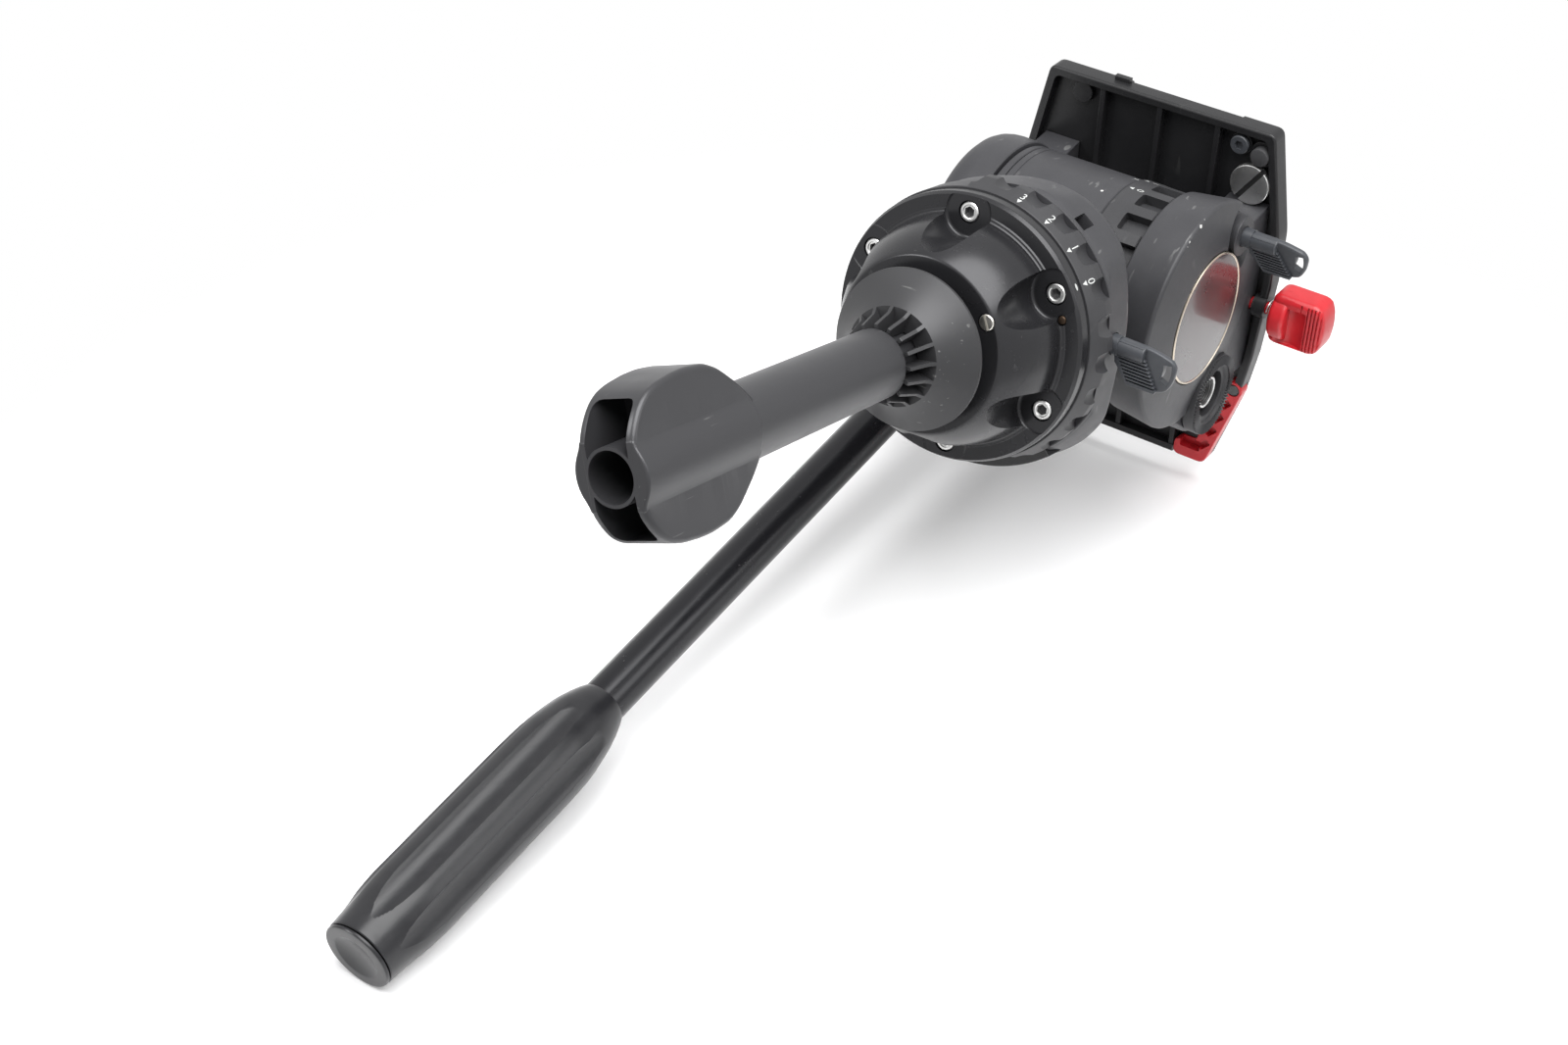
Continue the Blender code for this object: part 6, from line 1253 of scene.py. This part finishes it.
small = turned("small_spare_screw_socket", [
    (0, 50.9), (1.7, 50.9), (1.7, 46.7), (3.2, 46.7), (3.4, 46.5), (3.4, 45.3), (3.1, 45.0),
    (0, 45.0)], SMALL, 64)
cut(small, slab("small_socket", arc((0, 0), 1.7, 0, 300, 6), 44, 46.2, SMALL))
placed(small, GREY, "tilt", "small_spare_screw")
BUTTON = TILT @ at(*BUTTON_SPOT, 0)
placed(turned("lock_button_round", [(0, 49.4), (3.2, 49.4), (3.4, 49.2), (3.4, 44.6),
                                    (3.1, 44.1), (2.6, 43.95), (0, 43.9)], BUTTON, 64),
       PAD, "button", "lock_button")

# %% Red corner catch and its pin
pivot, along, _, corner = catch_frame()
catch = slab("corner_catch_red", [*catch_outline(0, 0)[:-2], tuple(corner)], RIM, 50.2, TILT,
             0.45, 2.6)
heading = Matrix.Rotation(atan2(along.y, along.x), 4, "Z")
CATCH = TILT @ at(pivot.x, pivot.y, 0) @ heading
reach = (corner - pivot).dot(along)
for i in range(4):
    spot = CATCH @ at(reach * (i + 1.1) / 5.2, 0, 0) @ Matrix.Rotation(radians(28), 4, "Z")
    cut(catch, block(f"pocket_{i}", (-2.4, -1.3, RIM - 2), (2.4, 1.3, 47.6), spot, corner=0.5))
cut(catch, block("catch_bay", (-34.5, 9.0 - REAR, RIM - 2), (-26.5, 4.4 - REAR, 48.4), TILT,
                 corner=0.6))
cut(catch, rod("pin_hole", 1.5, 43, 52, CATCH, 40), rod("pin_seat", 2.5, 43, 46.1, CATCH, 40))
placed(catch, RED, "catch", "corner_catch")
placed(turned("catch_pin_head", [(0, 51.1), (1.2, 51.1), (1.2, 45.8), (2.2, 45.8),
                                 (2.2, 45.3), (1.9, 45.05), (0, 45.0)], CATCH, 40),
       DARK_STEEL_AND_SHADE, "tilt", "catch_pin")

# %% Jaw, and pads in the channel
jaw = slab("clamp_jaw_bright", [(-35, 51.5), (-30.2, 51.5), (-29, 52.7), (-35, 52.7)],
           -24.0, 52.0, TILT @ Matrix.Rotation(pi / 2, 4, "X"), 0.15)
join(jaw, block("jaw_foot", (-35, -22, 43.7), (-30.2, -11, 51.8), TILT, 0.2))
cut(jaw, rod("jaw_hole", 2.5, -40, -25, CLAMP @ ALONG_X, 40))
placed(jaw, STEEL, "jaw", "clamp_jaw")
pads = straight_row("channel_pads", block("pad", (-25.4, -80, 51.1), (-22.2, 36, 51.6),
                                          edge=0.2, corner=1.2), 2, (33.2, 0, 0), TILT)
placed(pads, PAD, "tilt")

# %% [markdown]
# ## Red clamp knob and its spring
# The knob is a red block on a round hub, with hollow faces for finger and thumb and fine
# grooves near its end. Its shaft goes through the platform's wall into the jaw, and a small
# spring keeps the knob from rattling. The spring follows a path, so it is a Geometry Nodes
# spiral with a round profile.

# %% Knob
KNOB_NEAR, KNOB_FAR = -54.7, -75.2
half_knob = [(KNOB_NEAR, 8.0), (KNOB_NEAR - 0.9, 9.3), (KNOB_NEAR - 2.6, 9.9),
             (KNOB_FAR + 4.2, 9.9), (KNOB_FAR + 1.9, 8.8), (KNOB_FAR + 0.5, 5.4), (KNOB_FAR, 0)]
knob = slab("clamp_knob_red", half_knob + [(x, -y) for x, y in reversed(half_knob[:-1])],
            -6, 6, CLAMP, 2.2, 2.0)
for side in (-1, 1):
    hollow = rod("thumb_hollow", 8.0, -6.0, 9.0, CLAMP @ at(KNOB_NEAR - 8.0, 0, side * 11.8)
                 @ Matrix.Rotation(pi / 2, 4, "X"), 96, 0.8)
    groove = block("knob_groove", (KNOB_FAR + 1.0, -8.8, side * 5.9 - 0.9),
                   (KNOB_FAR + 1.6, 8.8, side * 5.9 + 0.9))
    cut(knob, hollow, straight_row("knob_grooves", groove, 7, (1.3, 0, 0), CLAMP))
join(knob, rod("knob_hub", 9.2, KNOB_NEAR - 6.4, KNOB_NEAR - 0.1, CLAMP @ ALONG_X, 96, 1.6),
     rod("knob_shaft", 2.2, -62, -30.2, CLAMP @ ALONG_X, 40))
placed(knob, RED, "knob", "clamp_knob")


# %% Spring
def spiral_tree():
    """A wire of a given thickness wound round Z between two heights."""
    tree = bpy.data.node_groups.new("spiral wire", "GeometryNodeTree")
    for key, kind, value in (("Radius", "Float", 3.0), ("Wire", "Float", 0.3),
                             ("Turns", "Float", 2.0), ("Height", "Float", 2.0),
                             ("Finish", "Material", None)):
        named_input(tree, key, kind, value)
    tree.interface.new_socket("Geometry", in_out="OUTPUT", socket_type="NodeSocketGeometry")
    add, link = tree.nodes.new, tree.links.new
    given = add("NodeGroupInput").outputs
    spiral = add("GeometryNodeCurveSpiral")
    spiral.inputs["Resolution"].default_value = 32
    link(given["Turns"], spiral.inputs["Rotations"])
    link(given["Radius"], spiral.inputs["Start Radius"])
    link(given["Radius"], spiral.inputs["End Radius"])
    link(given["Height"], spiral.inputs["Height"])
    profile = add("GeometryNodeCurvePrimitiveCircle")
    profile.inputs["Resolution"].default_value = 12
    link(given["Wire"], profile.inputs["Radius"])
    wire = add("GeometryNodeCurveToMesh")
    wire.inputs["Fill Caps"].default_value = True
    link(spiral.outputs[0], wire.inputs["Curve"])
    link(profile.outputs[0], wire.inputs["Profile Curve"])
    real = add("GeometryNodeRealizeInstances")
    paint = add("GeometryNodeSetMaterial")
    link(wire.outputs[0], real.inputs[0])
    link(real.outputs[0], paint.inputs["Geometry"])
    link(given["Finish"], paint.inputs["Material"])
    link(paint.outputs[0], add("NodeGroupOutput").inputs[0])
    return tree


spring = as_object("clamp_spring_wire", bpy.data.meshes.new("clamp_spring_wire"))
step = spring.modifiers.new("wire", "NODES")
step.node_group = spiral_tree()
for key, value in (("Radius", 3.1), ("Wire", 0.3), ("Turns", 2.0), ("Height", 1.9)):
    step[step.node_group.interface.items_tree[key].identifier] = value
settled(spring)
spring.data.transform(CLAMP @ at(-54.1, 0, 0) @ ALONG_X)
placed(spring, STEEL, "knob", "clamp_spring")

# %% [markdown]
# ## Pan bar
# The bar hangs from the toothed seat on the right cheek. A bracket grips the tube, a lobed
# knob locks the teeth, and the far end has a long satin grip with six flutes. The grip is
# turned, and a flute is a straight rod cut away: the grip's own taper draws its pointed ends.

# %% Bracket, tube and plug
BAR_X = BAR @ ALONG_X
bracket = slab("bar_bracket_cast", tear(15.0, (-23.4, 0), 11.1), 52.5, 62.0, BAR @ SIDEWAYS,
               1.4)
join(bracket, rod("bar_sleeve", 11.1, -15.5, 15.5, BAR_LINE, 96, 0.7))
ring = rosette("bar_teeth", "bar", None, BAR @ at(55.0, 0, 0) @ Matrix.Rotation(
    -pi / 2, 4, "Y"))
cut(bracket, rod("sleeve_bore", 8.3, -20, 20, BAR_LINE, 72),
    rod("bolt_hole", 4.1, 44, 64, BAR_X, 48))
placed(bracket, CAST, "bar", "bar_bracket")
placed(gathered("bar_rosette", ring), RING, "bar")
GRIP_TOP, BAR_FOOT = -216.0, -337.8
placed(turned("bar_tube_satin", [(6.4, 16.0), (7.8, 16.0), (8.0, 15.8), (8.0, -335.5),
                                 (6.4, -335.5)], BAR_LINE, 96, True),
       BAR_BLACK, "bar", "bar_tube")
placed(turned("bar_plug_dome", [(0, 17.6), (5.0, 17.55), (7.2, 17.2), (7.9, 16.6),
                                (7.9, 16.3), (6.1, 16.3), (6.1, 8), (0, 8)], BAR_LINE, 72),
       RING, "bar", "bar_plug")

# %% Grip and cap
GRIP_SHARES = ((0, .575), (.019, .635), (.048, .72), (.091, .82), (.174, .936), (.215, .975),
               (.30, 1), (.8135, 1), (.8775, .95), (.935, .868), (1, .835))
cap_low = BAR_FOOT + 1.8
grip_long = GRIP_TOP - cap_low
side_line = soften([(14.9 * radius, GRIP_TOP - grip_long * far) for far, radius in GRIP_SHARES],
                   6.0, False, 5)
side_line = [(side_line[0][0] - 0.3, side_line[0][1]), (side_line[0][0], side_line[0][1] - 0.3),
             *side_line[1:-1], (side_line[-1][0], side_line[-1][1] + 0.3),
             (side_line[-1][0] - 0.3, side_line[-1][1])]
grip = turned("bar_grip_fluted", side_line + [(8.3, cap_low), (8.3, GRIP_TOP)],
              BAR_LINE, 160, True)
flute = rod("flute", 10.5, BAR_FOOT - 5, GRIP_TOP + 5, steps=120)
cut(grip, round_row("flutes", flute, 6, 23.36, 40.5, BAR_LINE))
placed(grip, GRIP, "bar", "bar_grip")
placed(turned("bar_cap_dimpled", [
    (0, cap_low + 8), (6.1, cap_low + 8), (6.1, cap_low - 0.35), (11.9, cap_low - 0.35),
    (12.3, cap_low - 0.7), (12.3, BAR_FOOT + 0.6), (12.05, BAR_FOOT + 0.15),
    (11.6, BAR_FOOT), (8.7, BAR_FOOT), (8.0, BAR_FOOT + 0.12), (6.4, BAR_FOOT + 0.7),
    (3.0, BAR_FOOT + 1.1), (0, BAR_FOOT + 1.2)], BAR_LINE, 120), GRIP, "bar", "bar_cap")

# %% [markdown]
# ## Lobed knobs
# The bar's clamping knob and the counterbalance dial are both turned, and their finger
# notches are one rounded cutter set round them.

# %% Bar bolt and counterbalance dial
bolt = turned("bar_bolt_lobed", [
    (0, 76.3), (6.8, 76.3), (8.2, 75.8), (9.1, 74.8), (9.5, 73.5), (9.5, 63.0),
    (9.0, 62.3), (3.8, 62.3), (3.8, 40.6), (3.5, 40.3), (0, 40.3)], BAR_X, 120)
cut(bolt, round_row("lobes", rod("lobe", 3.4, 60, 80, steps=40), 6, 11.2, 0, BAR_X))
placed(bolt, RING, "bar_knob", "bar_bolt")
dial = turned("counterbalance_dial_notched", [
    (0, 55.4), (12.0, 55.5), (12.6, 55.8), (14.6, 55.8), (15.6, 55.4), (16.3, 54.4),
    (16.5, 53.2), (16.5, 48.8), (16.1, 48.3), (6.0, 48.3), (6.0, 40.7), (0, 40.7)], TILT_X, 160)
cut(dial, round_row("notches", rod("notch", 3.0, 46, 60, steps=32), 12, 18.0, 0, TILT_X))
placed(dial, RING, "dial", "counterbalance_dial")
dial_marks = []
for number in range(1, 9):
    turn = Matrix.Rotation(radians(-45 * number), 4, "Z")
    digit = as_object("digit", flat_text(str(number), 3.0))
    digit.data.transform(TILT @ at(55.85, 0, 0) @ SIDEWAYS @ turn @ at(0, 10.2, 0))
    dial_marks.append(digit)
placed(gathered("dial_numbers", dial_marks), PRINT, "dial")

# %% [markdown]
# ## Pieces inside
# The spindle, the bearing, the dampers, the springs, the axle, the nuts and the stud keep
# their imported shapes, because they are right as they are. They only get better finishes.

# %% Finishes of the carried solids
INSIDE = {STEEL: ("pan_spindle", "spindle_ring_nut", "pan_bearing", "pan_brake_band",
                  "tilt_axle", "counterbalance_spring", "tie_down_stud"),
          CAST: ("carrier_plate",), SATIN: ("pan_damper", "tilt_damper"),
          BRASS: ("spindle_nut", "tie_down_nut")}
for finish, names in INSIDE.items():
    for name in names:
        for slot in nodes[name].material_slots:
            slot.material = finish
print(sum(len(names) for names in INSIDE.values()), "solids kept and refinished")

# %% [markdown]
# ## Table, light and camera
# The head lies on its side on a white, slightly glossy table, under large soft lamps, and
# the table takes its soft shadow. The table is seen only from above, so that it hides no
# other view, and a little way from the head it fades into the white room. The room shows
# white to the camera and in reflections, and it lights the head more dimly.

# %% Table
SUPPORT = Vector((0, 0.955, -0.295)).normalized()     # away from the table's top
FADE_NEAR, FADE_FAR = 0.26, 0.38
bpy.context.view_layer.update()
LOWEST = min(SUPPORT.dot(obj.matrix_world @ vertex.co)
             for obj in nodes.values() for vertex in obj.data.vertices)
across = SUPPORT.cross(Vector((1, 0, 0))).normalized()
sideways = across.cross(SUPPORT)


def table_finish():
    """White from above, nothing from below, and fading into the white room far out."""
    made = Finish("white_table", Roughness=0.35, Emission_Strength=0.22)
    made.shader.inputs["Emission Color"].default_value = (1, 1, 1, 1)
    cloud = made.noise(6, 2.0)
    made.feed("Base Color", made.mix(cloud, (0.80, 0.80, 0.81), (0.83, 0.83, 0.83)))
    made.feed("Roughness", 0.30 + 0.1 * cloud)
    far = made.node("VectorMath", {"operation": "DISTANCE"}, "Value", _0=made.place,
                    _1=UNDER_HEAD)
    back = made.node("NewGeometry", output="Backfacing")
    clear = made.node("BsdfTransparent")
    hidden = back.sum("MAXIMUM", far.step(FADE_NEAR, FADE_FAR))
    shown = made.node("MixShader", _0=hidden, _2=clear)
    out = made.tree.nodes["Material Output"]
    made.tree.links.new(made.shader.outputs[0], shown.socket.node.inputs[1])
    made.tree.links.new(shown.socket, out.inputs["Surface"])
    return made.material


UNDER_HEAD = SUPPORT * LOWEST + Vector((0, -0.067, -0.038))
half_table = 3.0
origin = SUPPORT * LOWEST
table_points = [origin + sideways * x * half_table + across * y * half_table
                for x, y in ((-1, -1), (1, -1), (1, 1), (-1, 1))]
data = bpy.data.meshes.new("white_table")
data.from_pydata(table_points, [], [(0, 1, 2, 3)])
if data.polygons[0].normal.dot(SUPPORT) < 0:
    data.flip_normals()
table = bpy.data.objects.new("white_table", data)
bpy.context.scene.collection.objects.link(table)
data.materials.append(table_finish())
print("table at", round(LOWEST / MM, 1), "mm along its own up")

# %% White surroundings
world = bpy.data.worlds.new("white_room")
bpy.context.scene.world = world
world.use_nodes = True
sky = world.node_tree
plain = sky.nodes["Background"]
plain.inputs["Color"].default_value = (1, 1, 1, 1)
plain.inputs["Strength"].default_value = 0.3
white = sky.nodes.new("ShaderNodeBackground")
white.inputs["Color"].default_value = (1, 1, 1, 1)
white.inputs["Strength"].default_value = 1.0
rays = sky.nodes.new("ShaderNodeLightPath")
both = sky.nodes.new("ShaderNodeMixShader")
sums = Value(sky, rays.outputs["Is Camera Ray"])
for kind in ("Is Glossy Ray", "Is Transmission Ray"):
    sums = sums.sum("MAXIMUM", Value(sky, rays.outputs[kind]))
sky.links.new(sums.socket, both.inputs[0])
sky.links.new(plain.outputs[0], both.inputs[1])
sky.links.new(white.outputs[0], both.inputs[2])
sky.links.new(both.outputs[0], sky.nodes["World Output"].inputs["Surface"])

# %% Camera at the photograph's place
camera_data = bpy.data.cameras.new("camera")
camera_data.sensor_width, camera_data.lens = 36.0, 58.5
camera_data.clip_start, camera_data.clip_end = 0.01, 10.0
camera = bpy.data.objects.new("camera", camera_data)
bpy.context.scene.collection.objects.link(camera)
TURN = Vector((-0.76798, 0.53689, -2.70704))          # of the row into the camera's axes
SHIFT = Vector((0.05521, -0.06215, 0.81740))
seen = Matrix.Rotation(TURN.length, 3, TURN.normalized())
flip = Matrix(((1, 0, 0), (0, -1, 0), (0, 0, -1)))
place = (flip @ seen).transposed().to_4x4()
place.translation = -(seen.transposed() @ SHIFT)
camera.matrix_world = place
bpy.context.scene.camera = camera
eye = place.translation
print("camera at", [round(value, 3) for value in eye])

# %% Lamps
middle = Vector((0, -0.02, 0.03))


def lamp(name, towards, distance, size, strength):
    """A large soft lamp that looks at the head's middle from a direction."""
    light = bpy.data.lights.new(name, "AREA")
    light.shape, light.size, light.energy = "DISK", size, strength
    holder = bpy.data.objects.new(name, light)
    bpy.context.scene.collection.objects.link(holder)
    towards = Vector(towards).normalized()
    holder.location = middle + towards * distance
    holder.rotation_euler = (-towards).to_track_quat("-Z", "Y").to_euler()


right_of_view = place.to_3x3() @ Vector((1, 0, 0))
up_of_view = place.to_3x3() @ Vector((0, 1, 0))
to_eye = place.to_3x3() @ Vector((0, 0, 1))
lamp("overhead", SUPPORT + 0.35 * to_eye + 0.2 * right_of_view, 1.1, 1.2, 27)
lamp("left_side", to_eye * 0.6 - right_of_view + 0.5 * up_of_view, 1.2, 0.4, 5)
lamp("right_side", to_eye * 0.5 + right_of_view + 0.3 * up_of_view, 1.3, 0.6, 3)
bpy.context.scene.view_settings.view_transform = "Standard"
